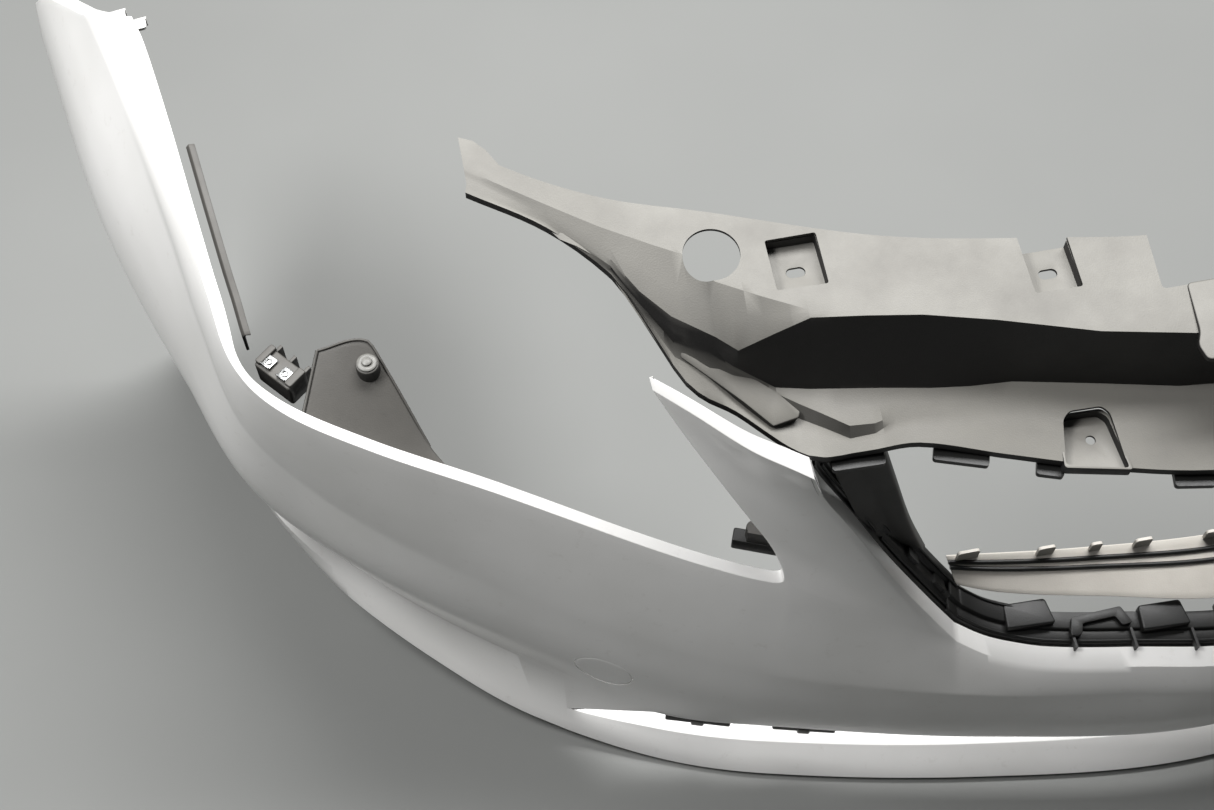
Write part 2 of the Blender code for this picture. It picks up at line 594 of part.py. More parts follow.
def build_lower_guide(grey, group, tools, nose):
    half = steps(0, GUIDE_REACH, 10)
    front = [on_line(GUIDE_FRONT, at) for at in half]
    rear = [on_line(GUIDE_REAR, at) for at in half]
    columns = [[low, low.lerp(high, 0.5), high] for low, high in zip(front, rear)]
    other = to_side(columns, 1)
    rows = columns_to_rows(list(reversed(other[1:])) + columns)
    guide = plate("lower_air_guide", rows, PLATE, (0, 0, 1), grey, group, nose)
    tabs = bmesh.new()
    for away, width in GUIDE_TABS:
        spot = on_line(GUIDE_REAR, away) / MM
        for side in (-1, 1):
            box(tabs, (side * away, spot.y - 1.6, spot.z + 3.5), (width, 2.6, 17))
    combine(guide, tabs, "air_guide_tabs", tools, nose, "UNION")


SIDE_GUIDE = {0: (-276, 152, 312), 1: (-298, 160, 372), 2: (-316, 167, 432), 3: (-325, 168, 472)}


def build_side_guide(name, side, grey, group, tools, nose):
    front = [on_line(SIDE_GUIDE, at) for at in steps(0, 3, 6)]
    rear = [shifted(point, -8, 46, 2) for point in front]
    guide = plate(name, to_side([front, rear], side), PLATE, (side, 0, 0), grey, group, nose, 0)
    ribs = bmesh.new()
    for at in (0.7, 1.5, 2.3):
        spot = on_line(SIDE_GUIDE, at) / MM
        box(ribs, (-side * (spot.x + 4), spot.y + 23, spot.z), (9, 34, 2.4))
    combine(guide, ribs, name + "_ribs", tools, nose, "UNION")


# ---------------------------------------------------------------- brackets

BOSS = (-689, 319)
BOSS_TOP = 450
BOSS_HEIGHT = 18
BOSS_RADIUS = 10
RIVET_HEAD = 8.0
RIVET_SHANK = 3.2
PIN_RADIUS = 1.7


def build_headlight_bracket(name, side, grey, group, tools, nose):
    spots = steps(6.35, 7.75, 6)
    front = [shifted(on_line(LAMP, at), 1, 7, -5.5) for at in spots]
    far = {0: (-652, 262, 402), 0.4: (-676, 318, 440), 0.55: (-687, 338, 452), 1: (-726, 338, 449)}
    rear = [on_line(far, v) for v in steps(0, 1, 6)]
    rows = [front, [low.lerp(high, 0.5) for low, high in zip(front, rear)], rear]
    bracket = plate(name, to_side(rows, side), PLATE, (0, 0, 1), grey, group, nose)
    boss = bmesh.new()
    disc(boss, (-side * BOSS[0], BOSS[1], BOSS_TOP - BOSS_HEIGHT / 2), BOSS_RADIUS, BOSS_HEIGHT)
    combine(bracket, boss, name + "_boss", tools, nose, "UNION")
    bore = bmesh.new()
    disc(bore, (-side * BOSS[0], BOSS[1], BOSS_TOP - 10), RIVET_SHANK + 0.4, 40, 16)
    combine(bracket, bore, name + "_bore_cutter", tools, nose, "DIFFERENCE")


def build_rivet(name, side, plastic, group, tools, nose):
    """Expansion rivet: a flanged sleeve that sits on the boss, and the pin that spreads it."""
    spot = Vector((-side * BOSS[0], BOSS[1], BOSS_TOP)) * MM
    place = Matrix.Translation(spot)
    sleeve = bmesh.new()
    disc(sleeve, (0, 0, 1.3), RIVET_HEAD, 1.8)
    rivet = finish_mesh("push_rivet_" + name, sleeve, plastic, group, nose, place)
    shank = bmesh.new()
    disc(shank, (spot.x / MM, spot.y / MM, spot.z / MM - 6), RIVET_SHANK, 15, 16)
    combine(rivet, shank, "rivet_shank_" + name, tools, nose, "UNION")
    bore = bmesh.new()
    disc(bore, (spot.x / MM, spot.y / MM, spot.z / MM), PIN_RADIUS + 0.35, 60, 16)
    combine(rivet, bore, "rivet_bore_" + name, tools, nose, "DIFFERENCE")
    body = bmesh.new()
    disc(body, (0, 0, 3.4), 3.6, 1.6)
    pin = finish_mesh("rivet_pin_" + name, body, plastic, group, nose, place)
    stem = bmesh.new()
    disc(stem, (spot.x / MM, spot.y / MM, spot.z / MM - 4.6), PIN_RADIUS, 15.2, 16)
    combine(pin, stem, "rivet_stem_" + name, tools, nose, "UNION")


CORNER_STATION = 8.5
CORNER_BLOCK = (38, 20, 26)          # along the edge, into the bumper, up
CORNER_DEPTH = 29                    # from the edge line to the middle of the block
NUT_SIZE = (9, 11, 3.6)


def edge_place(line, at, drop):
    """Place on a shape line: +X runs along it towards the wheel, +Y points into the bumper."""
    into = inward(line, at)
    along = into.cross(Vector((0, 0, -1)))
    turn = Matrix((along, into, Vector((0, 0, 1)))).transposed().to_4x4()
    return Matrix.Translation(shifted(on_line(line, at), 0, 0, -drop)) @ turn


def placed_box(mesh, place, centre, size):
    middle = place @ Matrix.Translation(Vector(centre) * MM)
    bmesh.ops.create_cube(mesh, size=1, matrix=middle @ Matrix.Diagonal((*(Vector(size) * MM), 1)))


def build_corner_bracket(name, side, black, metal, group, tools, nose):
    place = edge_place(LAMP, CORNER_STATION, 17)
    block = bmesh.new()
    placed_box(block, place, (0, CORNER_DEPTH, 0), CORNER_BLOCK)
    bracket = finish_mesh(name, mirrored(block, side), black, group, nose)
    fins = bmesh.new()
    for away in (-15, 0, 15):
        placed_box(fins, place, (away, CORNER_DEPTH + 13, -2), (3, 8, 20))
    combine(bracket, mirrored(fins, side), name + "_fins", tools, nose, "UNION")
    top = CORNER_BLOCK[2] / 2 + NUT_SIZE[2] / 2 + 0.4
    for index, away in enumerate((-8, 9), 1):
        spot = (away, CORNER_DEPTH - 2, top)
        nut = bmesh.new()
        placed_box(nut, place, spot, NUT_SIZE)
        made = finish_mesh("speed_nut_%s_%d" % (name.rsplit("_", 1)[1], index), mirrored(nut, side), metal,
                           group, nose)
        hole = bmesh.new()
        disc(hole, spot, 2, 30, 16, place)
        combine(made, mirrored(hole, side), made.name + "_hole", tools, nose, "DIFFERENCE")


WING_SUPPORT_REACH = (9.4, 11.8)
WING_SUPPORT_AT = 18.4               # distance of its wall inside the edge line, just clear of the rolled edge


def build_wing_support(name, side, black, group, nose):
    columns = []
    for at in steps(*WING_SUPPORT_REACH, 10):
        wall = on_line(LAMP, at) + inward(LAMP, at) * WING_SUPPORT_AT * MM
        columns.append([shifted(wall, 4.5, 0, -8), shifted(wall, 0, 0, -8), shifted(wall, 0, 0, -30)])
    return plate(name, to_side(columns_to_rows(columns), side), PLATE, (-side, 0, 0), black, group, nose)


def build_inner_lamp_bracket(name, side, black, group, tools, nose):
    base = bmesh.new()
    box(base, (side * 408, 157, 345), (38, 12, 16), side * 22)
    bracket = finish_mesh(name, base, black, group, nose)
    post = bmesh.new()
    disc(post, (side * 410, 160, 352), 6.5, 32)
    combine(bracket, post, name + "_post", tools, nose, "UNION")


SLOT_CLIPS = ((4.62, 60), (3.66, 58))                # station and width


def build_slot_clip(name, side, station, width, black, group, tools, nose):
    place = edge_place(BAND, station, 8.5)
    body = bmesh.new()
    placed_box(body, place, (0, 8, 0), (width, 12, 13))
    clip = finish_mesh(name, mirrored(body, side), black, group, nose)
    tongue = bmesh.new()
    placed_box(tongue, place, (0, 6.5, -5), (12, 8, 11))
    combine(clip, mirrored(tongue, side), name + "_tongue", tools, nose, "UNION")


def build_bumper():
    empty_scene()
    group = collection("bumper_cover")
    tools = collection("cutters")
    nose = bpy.data.objects.new("nose", None)
    nose.location = (0, NOSE_Y, 0)
    group.objects.link(nose)

    paint = material("white_paint", (0.78, 0.78, 0.77), 0.28)
    black = material("grained_black_plastic", (0.05, 0.05, 0.048), 0.6)
    grey = material("dusty_grey_plastic", (0.16, 0.16, 0.155), 0.7)
    metal = material("zinc_plated_steel", (0.6, 0.6, 0.6), 0.35, 1.0)
    rivet = material("grey_nylon", (0.3, 0.3, 0.3), 0.5)

    build_skin(paint, group, tools, nose)
    build_shroud(black, group, tools, nose)
    build_lower_frame(black, group, tools, nose)
    build_upper_frame(black, group, tools, nose)
    build_lower_guide(grey, group, tools, nose)
    for name, side in SIDES.items():
        build_side_frame("grille_frame_side_" + name, side, black, group, tools, nose)
        build_side_guide("side_air_guide_" + name, side, grey, group, tools, nose)
        build_headlight_bracket("headlight_bracket_" + name, side, grey, group, tools, nose)
        build_rivet(name, side, rivet, group, tools, nose)
        build_corner_bracket("corner_bracket_" + name, side, black, metal, group, tools, nose)
        build_wing_support("wing_support_" + name, side, black, group, nose)
        build_inner_lamp_bracket("inner_lamp_bracket_" + name, side, black, group, tools, nose)
        for index, (station, width) in enumerate(SLOT_CLIPS, 1):
            build_slot_clip("slot_clip_%s_%d" % (name, index), side, station, width, black, group, tools,
                            nose)


build_bumper()
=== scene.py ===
"""Looks of a front bumper cover: painted skin, grained black shroud, grille frame, guides and brackets.

Metres, +Z up, the bumper faces -Y and stands on the floor at z = 0. Shape lines are in millimetres
behind the nose for the half at -X, and the other half mirrors them.
"""
from bisect import bisect_right
from math import cos, pi, radians, sin

import bmesh
import bpy
from mathutils import Matrix, Vector
from mathutils.bvhtree import BVHTree


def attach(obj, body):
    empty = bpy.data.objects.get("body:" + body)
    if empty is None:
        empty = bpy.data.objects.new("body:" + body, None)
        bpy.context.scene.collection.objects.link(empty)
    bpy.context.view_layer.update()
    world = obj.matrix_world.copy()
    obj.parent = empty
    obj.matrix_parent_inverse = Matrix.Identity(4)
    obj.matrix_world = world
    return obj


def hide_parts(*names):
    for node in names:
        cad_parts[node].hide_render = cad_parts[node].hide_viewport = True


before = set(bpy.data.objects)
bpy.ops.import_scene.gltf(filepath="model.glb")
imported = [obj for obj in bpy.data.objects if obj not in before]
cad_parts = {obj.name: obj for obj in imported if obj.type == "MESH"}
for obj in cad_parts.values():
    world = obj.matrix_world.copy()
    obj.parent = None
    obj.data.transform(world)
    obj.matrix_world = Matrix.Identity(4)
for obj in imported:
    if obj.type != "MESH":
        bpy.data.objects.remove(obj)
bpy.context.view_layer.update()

MM = 0.001
NOSE = Vector((0, -0.36687, 0))      # the shape lines start from this point
SKIN = 0.0028                        # wall of the painted moulding
PLATE = 0.0025                       # wall of the black mouldings
FLANGE = 0.017                       # depth of the rolled edge round the grille opening
LAMP_FLANGE = 0.010                  # depth of the rolled edge round the headlight opening
SHELF = 0.045                        # depth of the lip's top face inside the slot
BAND_RETURN = 0.020                  # depth of the band's turned-in lower edge
FOOT_RETURN = 0.028                  # depth of the turned-in foot
ARCH_RETURN = 0.014                  # depth of the wheel-arch edge
CROWN = 0.003                        # how far the face bows out
LIP_CROWN = 0.0015                   # how far the lip bows out
CORNER_REACH = 0.017                 # how far the rounding of the headlight corner runs along its sides
WELD = 0.00002                       # points closer than this are one point

CAMERA_PLACE = (-0.634, -0.7499, 1.679)
CAMERA_YAW = 10.93
CAMERA_PITCH = 62.41
CAMERA_LENS = 53.38
SENSOR_WIDTH = 36

# Stations run along the bumper: 0 at the centre, 9 at the corner, 14 at the wheel arch.
GRILLE_CORNER = 2.45
LAMP_CORNER = 4.0
LAMP_CLOSE = 4.3                     # the columns are closer from the headlight corner up to here
SLOT_END = 5.0
PINCH = 5.7
TURN_START = 8.4                     # the headlight's rolled edge turns inward between these two
TURN_END = 10
LAST = 14.0
HORN_CLOSE = 0.15                    # the rows are closer up to this share of the horn's sides
LAMP_BACK = Vector((0.05, 0.94, 0.25))   # way of the rolled edge under the headlight

# Each line: station -> (x, y, z) in millimetres.
FOOT = {0: (0, 5, 0), 2: (-200, 28, 0), 4: (-395, 69, 0), 5: (-495, 104, 0), 6: (-595, 163, 0),
        7: (-672, 222, 2), 8: (-738, 295, 6), 9: (-780, 355, 10), 10: (-808, 408, 12),
        12: (-853, 508, 9), 13: (-870, 565, 4), 14: (-880, 640, 0)}
LIP = {0: (0, -3, 6), 2: (-200, 19, 6), 4: (-395, 60, 6), 5: (-495, 95, 7), 6: (-603, 153, 22),
       7: (-682, 213, 49), 8: (-756, 286, 72), 9: (-800, 352, 85), 10: (-826, 405, 95),
       12: (-869, 507, 98), 14: (-900, 620, 92)}
LEDGE = {0: (0, 24, 28), 2: (-200, 45, 28), 4: (-395, 85, 29), 5: (-495, 116, 35), 6: (-600, 167, 40),
         7: (-690, 244, 72), 8: (-755, 299, 92), 9: (-801, 342, 141), 10: (-826, 400, 146),
         12: (-869, 505, 142), 14: (-902.5, 617, 145)}
BAND = {0: (0, 7, 82), 2: (-200, 35, 82), 4: (-395, 82, 85), 5: (-495, 114, 88), 6: (-599, 189, 78),
        7: (-681, 250, 85), 8: (-747, 307, 99), 9: (-797, 345, 146), 10: (-824, 400, 151),
        12: (-868, 505, 148), 14: (-902, 617, 151)}
CHEEK_LOW = {0: (0, 5, 108), 2: (-200, 33, 110), 4: (-396, 80, 118), 5: (-497, 121, 126),
             6: (-603, 180, 140), 7: (-690, 234, 160), 8: (-761, 290, 182), 9: (-813, 337, 220),
             10: (-841, 400, 245), 12: (-888, 522, 272), 14: (-920, 649, 300)}
CHEEK = {0: (0, 3, 145), 2: (-200, 32, 147), 4: (-396, 80, 158), 5: (-498, 123, 170),
         6: (-604, 180, 188), 7: (-695, 232, 213), 8: (-768, 285, 240), 9: (-819, 331, 300),
         10: (-846, 398, 340), 12: (-897, 548, 395), 14: (-931, 742, 432)}
CREASE = {0: (0, 5, 190), 1: (-100, 19, 191), 2: (-200, 36, 195), 3: (-300, 58, 203), 4: (-395, 86, 213),
          5: (-495, 129, 228), 6: (-600, 185, 248), 7: (-690, 237, 280), 8: (-757, 285, 318),
          9: (-800, 325, 375), 10: (-816, 385, 432), 11: (-827, 450, 466), 12: (-843, 530, 488),
          13: (-860, 605, 500), 14: (-876, 664, 502)}
SILL = {0: (0, 18, 225), 1: (-100, 33, 225), 1.7: (-168, 46, 226), 2: (-200, 56, 229),
        2.2: (-222, 64, 235), 2.45: (-246, 76, 247)}
LAMP = {4: (-388, 118, 335), 4.3: (-428, 132, 343), 5: (-494, 162, 358), 6: (-604, 217, 388),
        7: (-695, 258, 416), 8: (-760, 294, 440), 9: (-791, 331, 461), 10: (-802, 388, 478),
        11: (-811, 450, 494), 12: (-822, 530, 509), 13: (-834, 604, 522), 14: (-842, 634, 526)}
# The three free sides of the horn, each from 0 to 1 in the direction that its name says.
GRILLE_SIDE_UP = {0: (-246, 76, 247), 0.15: (-268, 89, 277), 0.4: (-307, 110, 338), 0.68: (-343, 126, 408),
                  0.9: (-371, 134, 465), 1: (-382, 131, 505)}
LAMP_SIDE_UP = {0: (-388, 118, 335), 0.15: (-400, 138, 368), 0.35: (-418, 153, 402), 0.6: (-440, 172, 441),
                0.85: (-466, 199, 484), 1: (-484, 219, 517)}
HORN_TOP_OUT = {0: (-382, 131, 505), 0.12: (-395, 137, 512), 0.4: (-424, 158, 515), 0.75: (-459, 193, 518),
                1: (-484, 219, 517)}

# Lines of the shroud from its rear edge to the grille, distance from the centre -> (x, y, z).
SHROUD_REAR = {0: (0, 240, 580), 112: (-112, 243, 580), 170: (-170, 252, 580), 300: (-300, 278, 580),
               430: (-430, 324, 582), 500: (-500, 348, 585), 566: (-566, 387, 588), 574: (-574, 402, 589),
               582: (-582, 411, 590), 592: (-592, 416, 590)}
FACET_TOP = {0: (0, 157, 575.4), 105: (-105, 166, 575.4), 170: (-170, 181, 575.4), 240: (-240, 204, 575.4),
             290: (-290, 218, 575.4), 330: (-330, 225, 575.4), 369: (-369, 231, 575.6), 400: (-401, 248, 577),
             430: (-430, 265, 578), 449: (-449, 291, 580), 470: (-470, 304, 580), 503: (-503, 325, 580.5),
             540: (-541, 352, 583), 566: (-566, 370, 585), 592: (-592, 390, 586.5)}
WALL_TOP = {0: (0, 152, 575), 105: (-105, 161, 575), 170: (-170, 175, 575), 240: (-240, 198, 575),
            290: (-290, 212, 575), 330: (-330, 219, 575), 369: (-369, 225, 574.5), 395: (-396, 222, 565),
            422: (-422, 219, 555), 436: (-436, 232, 557), 464: (-464, 253, 560), 483: (-483, 275, 565),
            500: (-499, 302, 571), 540: (-539, 343, 579), 592: (-592, 385, 585)}
WALL_FOOT = {0: (0, 139, 515), 105: (-103, 150, 515), 170: (-168, 165, 515), 223: (-223, 177, 515),
             254: (-254, 179, 515), 283: (-283, 183, 515), 313: (-313, 189, 515), 370: (-370, 199, 515),
             395: (-395, 204, 517), 425: (-425, 218, 535), 440: (-440, 228, 545), 464: (-464, 242, 546),
             483: (-483, 268, 556), 500: (-500, 298, 568.5), 540: (-540, 340, 577), 592: (-592, 378, 583.5)}
STEP_TOP = {0: (0, 110, 508), 105: (-104, 122, 508), 170: (-169, 137, 508), 240: (-240, 155, 508.5),
            300: (-300, 166, 509.5), 317: (-317, 168, 509.5), 329: (-329, 165, 510), 348: (-348, 166, 511),
            365: (-365, 178, 513), 381: (-381, 189, 514.5), 400: (-400, 203, 516.5), 425: (-425, 215, 532),
            440: (-441, 225, 540), 464: (-464, 240, 543), 500: (-500, 296, 566.5), 540: (-540, 338, 576),
            592: (-592.7, 376, 583)}
STEP_BASE = {0: (0, 108, 507.8), 105: (-104, 120, 507.8), 170: (-169, 135, 507.8), 240: (-240, 153, 508.2),
             300: (-300, 163.5, 508.5), 317: (-317, 164, 507.5), 329: (-329, 160, 503.5),
             348: (-348, 160, 502), 365: (-365, 171, 504), 381: (-382, 182, 505), 400: (-401, 196, 508),
             425: (-426, 206, 520),
             440: (-442, 216, 529), 464: (-465, 233, 536), 500: (-500, 294.5, 565), 540: (-540, 336.5, 575.5),
             592: (-593.4, 374, 582.5)}
SHROUD_FRONT = {0: (0, 76, 500), 105: (-105, 88, 500), 170: (-170, 104, 500), 240: (-240, 127, 501),
                300: (-300, 146, 505), 340: (-340, 149, 500), 382: (-382, 153, 502), 430: (-428, 190, 518),
                464: (-460, 215, 529), 483: (-484, 262, 553), 500: (-500, 293, 564), 540: (-540, 335, 575),
                592: (-594, 372, 582)}
SHROUD_LINES = (SHROUD_REAR, FACET_TOP, WALL_TOP, WALL_FOOT, STEP_TOP, STEP_BASE, SHROUD_FRONT)


# ---------------------------------------------------------------- shape of the skin

def on_line(line, at):
    """Point of a shape line at a station: a smooth curve through its points, level at the centre."""
    keys = sorted(line)
    points = [Vector(line[key]) * MM for key in keys]
    last = len(keys) - 1
    low = min(max(bisect_right(keys, at) - 1, 0), last - 1)

    def slope(index):
        if index == 0 and keys[0] == 0 and points[0].x == 0:
            return Vector(((points[1].x - points[0].x) / (keys[1] - keys[0]), 0, 0))
        before, after = max(index - 1, 0), min(index + 1, last)
        return (points[after] - points[before]) / (keys[after] - keys[before])

    span = keys[low + 1] - keys[low]
    t = (at - keys[low]) / span
    return (points[low] * (2 * t**3 - 3 * t**2 + 1) + slope(low) * span * (t**3 - 2 * t**2 + t)
            + points[low + 1] * (3 * t**2 - 2 * t**3) + slope(low + 1) * span * (t**3 - t**2))


def steps(start, end, count):
    return [start + (end - start) * index / count for index in range(count + 1)]


def lay_grid(mesh, rows):
    """Add faces between rows of points that all have the same length."""
    placed = [[mesh.verts.new(point) for point in row] for row in rows]
    for lower, upper in zip(placed, placed[1:]):
        for a, b, c, d in zip(lower, lower[1:], upper[1:], upper):
            mesh.faces.new((a, b, c, d))


def coons(bottom, top, left, right):
    """Rows of points that fill four edge curves: bottom and top run the same way, left and right go up."""
    across, up = len(bottom) - 1, len(left) - 1
    rows = []
    for j in range(up + 1):
        v = j / up
        row = []
        for i in range(across + 1):
            u = i / across
            ruled = bottom[i] * (1 - v) + top[i] * v + left[j] * (1 - u) + right[j] * u
            corners = ((bottom[0] * (1 - u) + bottom[-1] * u) * (1 - v)
                       + (top[0] * (1 - u) + top[-1] * u) * v)
            row.append(ruled - corners)
        rows.append(row)
    return rows


def inward(line, at):
    """Level direction from a shape line into the bumper."""
    ahead = on_line(line, min(at + 0.05, LAST))
    behind = on_line(line, max(at - 0.05, 0))
    along = ahead - behind
    return Vector((-along.y, along.x, 0)).normalized() * -1


def up_the_band(at):
    """Shape line up the band at one station: 0 at the band's lower edge, 3 at the crease."""
    return {key: tuple(on_line(line, at) / MM) for key, line in enumerate((BAND, CHEEK_LOW, CHEEK, CREASE))}


def cheek_rows(at, count):
    """Points from the band's lower edge up to the crease at one station."""
    line = up_the_band(at)
    return [on_line(line, v) for v in steps(0, 2.94, count) + [3]]


def face_rows(at, top, count):
    """Points from the crease up to the top edge at one station, bowed out a little."""
    foot = on_line(CREASE, at)
    out = -inward(CREASE, at)
    return [foot.lerp(top, v) + out * CROWN * 4 * v * (1 - v) for v in [0] + steps(0.06, 1, count)]


def lip_middle(at):
    """Point just above the middle of the lip's face, bowed out a little."""
    return on_line(LEDGE, at).lerp(on_line(LIP, at), 0.45) - inward(LIP, at) * LIP_CROWN


def columns_to_rows(columns):
    return [list(row) for row in zip(*columns)]


def flange_rows(edge, directions, widths):
    far = [point + way * width for point, way, width in zip(edge, directions, widths)]
    return [list(edge), far]


def fade(at, start, end):
    t = min(max((at - start) / (end - start), 0), 1)
    return t * t * (3 - 2 * t)


def lamp_flange_way(at):
    """The rolled edge runs straight back under the headlight and turns inward along the wing."""
    across = Vector((0.85, 0.2, -0.35))
    return LAMP_BACK.lerp(across, fade(at, TURN_START, TURN_END)).normalized()


def slot_edge(at):
    """Lower edge of the patch that joins band and lip, slanted where it closes the slot."""
    if at >= PINCH:
        return on_line(LEDGE, at)
    return on_line(BAND, SLOT_END).lerp(on_line(LEDGE, PINCH), (at - SLOT_END) / (PINCH - SLOT_END))


def skin_surface(density, cheek, face, horn):
    """Open outer surface of the half at -X, as a bmesh. The counts set how fine it is."""
    mesh = bmesh.new()
    sill_at = steps(0, 2, 2 * density) + steps(2, GRILLE_CORNER, density)[1:]
    horn_at = steps(GRILLE_CORNER, LAMP_CORNER, 3 * density)
    lamp_at = steps(LAMP_CORNER, LAMP_CLOSE, density) + steps(LAMP_CLOSE, SLOT_END, density)[1:]
    join_at = steps(SLOT_END, PINCH, density)
    rear_at = steps(PINCH, 6, 1) + steps(6, LAST, int(7 * density))[1:]
    outer_at = lamp_at + join_at[1:] + rear_at[1:]
    all_at = sill_at + horn_at[1:] + outer_at[1:]

    lay_grid(mesh, columns_to_rows([cheek_rows(at, cheek) for at in all_at]))
    lay_grid(mesh, columns_to_rows([face_rows(at, on_line(SILL, at), face) for at in sill_at]))
    lay_grid(mesh, columns_to_rows([face_rows(at, on_line(LAMP, at), face) for at in outer_at]))

    up = steps(0, HORN_CLOSE, 8) + steps(HORN_CLOSE, 1, horn)[1:]
    left = face_rows(GRILLE_CORNER, on_line(SILL, GRILLE_CORNER), face)
    left += [on_line(GRILLE_SIDE_UP, v) for v in up[1:]]
    right = face_rows(LAMP_CORNER, on_line(LAMP, LAMP_CORNER), face)
    right += [on_line(LAMP_SIDE_UP, v) for v in up[1:]]
    bottom = [on_line(CREASE, at) for at in horn_at]
    top = [on_line(HORN_TOP_OUT, v) for v in steps(0, 1, len(horn_at) - 1)]
    lay_grid(mesh, coons(bottom, top, left, right))

    patch_at = join_at + rear_at[1:]
    lay_grid(mesh, [[slot_edge(at) for at in patch_at], [on_line(BAND, at) for at in patch_at]])
    lip = []
    for at in all_at:
        foot = on_line(FOOT, at)
        foot.z = max(foot.z, 0)
        toe = foot + inward(FOOT, at) * FOOT_RETURN
        lip.append([toe, foot, on_line(LIP, at), lip_middle(at), on_line(LEDGE, at)])
    lay_grid(mesh, columns_to_rows(lip))

    add_flanges(mesh, sill_at, outer_at, up, len(horn_at) - 1, cheek, face)
    slot_at = [at for at in all_at if at <= SLOT_END]
    edge = [on_line(BAND, at) for at in slot_at]
    widths = [BAND_RETURN * (1 - fade(at, 4.4, SLOT_END)) for at in slot_at]
    lay_grid(mesh, flange_rows(edge, [Vector((0, 0.99, 0.12))] * len(edge), widths))
    shelf_at = [at for at in all_at if at <= PINCH]
    edge = [on_line(LEDGE, at) for at in shelf_at]
    widths = [SHELF * (1 - fade(at, 4.9, PINCH)) for at in shelf_at]
    lay_grid(mesh, flange_rows(edge, [Vector((0, 1, -0.06))] * len(edge), widths))

    bmesh.ops.remove_doubles(mesh, verts=mesh.verts, dist=WELD)
    bmesh.ops.dissolve_degenerate(mesh, edges=mesh.edges, dist=WELD / 2)
    soften_corner(mesh)
    return mesh


def soften_corner(mesh):
    """Round the sharp corner between the headlight opening's lower edge and the horn."""
    corner = on_line(LAMP, LAMP_CORNER)
    along = (on_line(LAMP, LAMP_CORNER + 0.2) - corner).normalized()
    upward = (on_line(LAMP_SIDE_UP, 0.12) - corner).normalized()
    depth = Vector((0.06, 0.96, 0.26)).normalized()
    for vert in mesh.verts:
        away = vert.co - corner
        away -= depth * away.dot(depth)
        near = max(0, 1 - away.length / CORNER_REACH)
        vert.co += (along + upward) * CORNER_REACH * near * near / 4


def add_flanges(mesh, sill_at, outer_at, up, across, cheek, face):
    """Rolled edge round the grille and headlight openings, along the wing and down the wheel arch."""
    back = Vector((0, 0.94, 0.33))
    behind = Vector((0.12, 0.99, 0.05))
    tip = Vector((-0.1, 0.86, 0.5))
    edge = [on_line(SILL, at) for at in sill_at]
    ways = [back.lerp(behind, fade(at, 2, GRILLE_CORNER)) for at in sill_at]
    edge += [on_line(GRILLE_SIDE_UP, v) for v in up[1:]]
    ways += [behind.lerp(tip, fade(v, 0.8, 1)) for v in up[1:]]
    top = steps(0, 1, across)
    edge += [on_line(HORN_TOP_OUT, v) for v in top[1:]]
    ways += [tip] * across
    edge += [on_line(LAMP_SIDE_UP, v) for v in reversed(up[:-1])]
    ways += [tip.lerp(behind, fade(1 - v, 0, 0.3)).lerp(LAMP_BACK, fade(1 - v, 0.7, 1))
             for v in reversed(up[:-1])]
    edge += [on_line(LAMP, at) for at in outer_at[1:]]
    ways += [lamp_flange_way(at) for at in outer_at[1:]]
    wide = len(sill_at) + len(up) - 1
    widths = [FLANGE] * wide + [FLANGE + (LAMP_FLANGE - FLANGE) * v for v in top[1:]]
    widths += [LAMP_FLANGE] * (len(edge) - len(widths))
    lay_grid(mesh, flange_rows(edge, [way.normalized() for way in ways], widths))

    arch = list(reversed(face_rows(LAST, on_line(LAMP, LAST), face)))
    arch += list(reversed(cheek_rows(LAST, cheek)))[1:]
    arch += [on_line(LEDGE, LAST), lip_middle(LAST), on_line(LIP, LAST), on_line(FOOT, LAST)]
    inner = lamp_flange_way(LAST)
    count = len(arch) - 1
    ways = [inner.lerp(Vector((1, 0.1, 0)), fade(index, 0, 4)).normalized() for index in range(count + 1)]
    widths = [LAMP_FLANGE + (ARCH_RETURN - LAMP_FLANGE) * fade(index, 0, 4) for index in range(count)] + [0]
    lay_grid(mesh, flange_rows(arch, ways, widths))


# ---------------------------------------------------------------- tools

def linear(hex_colour):
    """sRGB hex to the linear values that shaders take."""
    values = [int(hex_colour[index:index + 2], 16) / 255 for index in (1, 3, 5)]
    return tuple(v / 12.92 if v <= 0.04045 else ((v + 0.055) / 1.055) ** 2.4 for v in values) + (1.0,)


def node(tree, kind, settings=None, links=None):
    """Add a shader or geometry node with its settings, and link sockets into its inputs."""
    made = tree.nodes.new(kind)
    for name, value in (settings or {}).items():
        if isinstance(name, str) and hasattr(made, name):
            setattr(made, name, value)
        else:
            made.inputs[name].default_value = value
    for name, source in (links or {}).items():
        tree.links.new(source, made.inputs[name])
    return made


def put(name, data):
    """Add an object at the origin for a mesh, camera or light."""
    made = bpy.data.objects.new(name, data)
    bpy.context.scene.collection.objects.link(made)
    return made


def mesh_object(name, mesh, finishes):
    data = bpy.data.meshes.new(name)
    mesh.to_mesh(data)
    mesh.free()
    for finish in finishes:
        data.materials.append(finish)
    return put(name, data)


def new_object(name, mesh, *finishes):
    """Turn a bmesh whose points are measured from the nose into a scene object at the origin."""
    bmesh.ops.translate(mesh, verts=mesh.verts, vec=NOSE)
    return mesh_object(name, mesh, finishes)


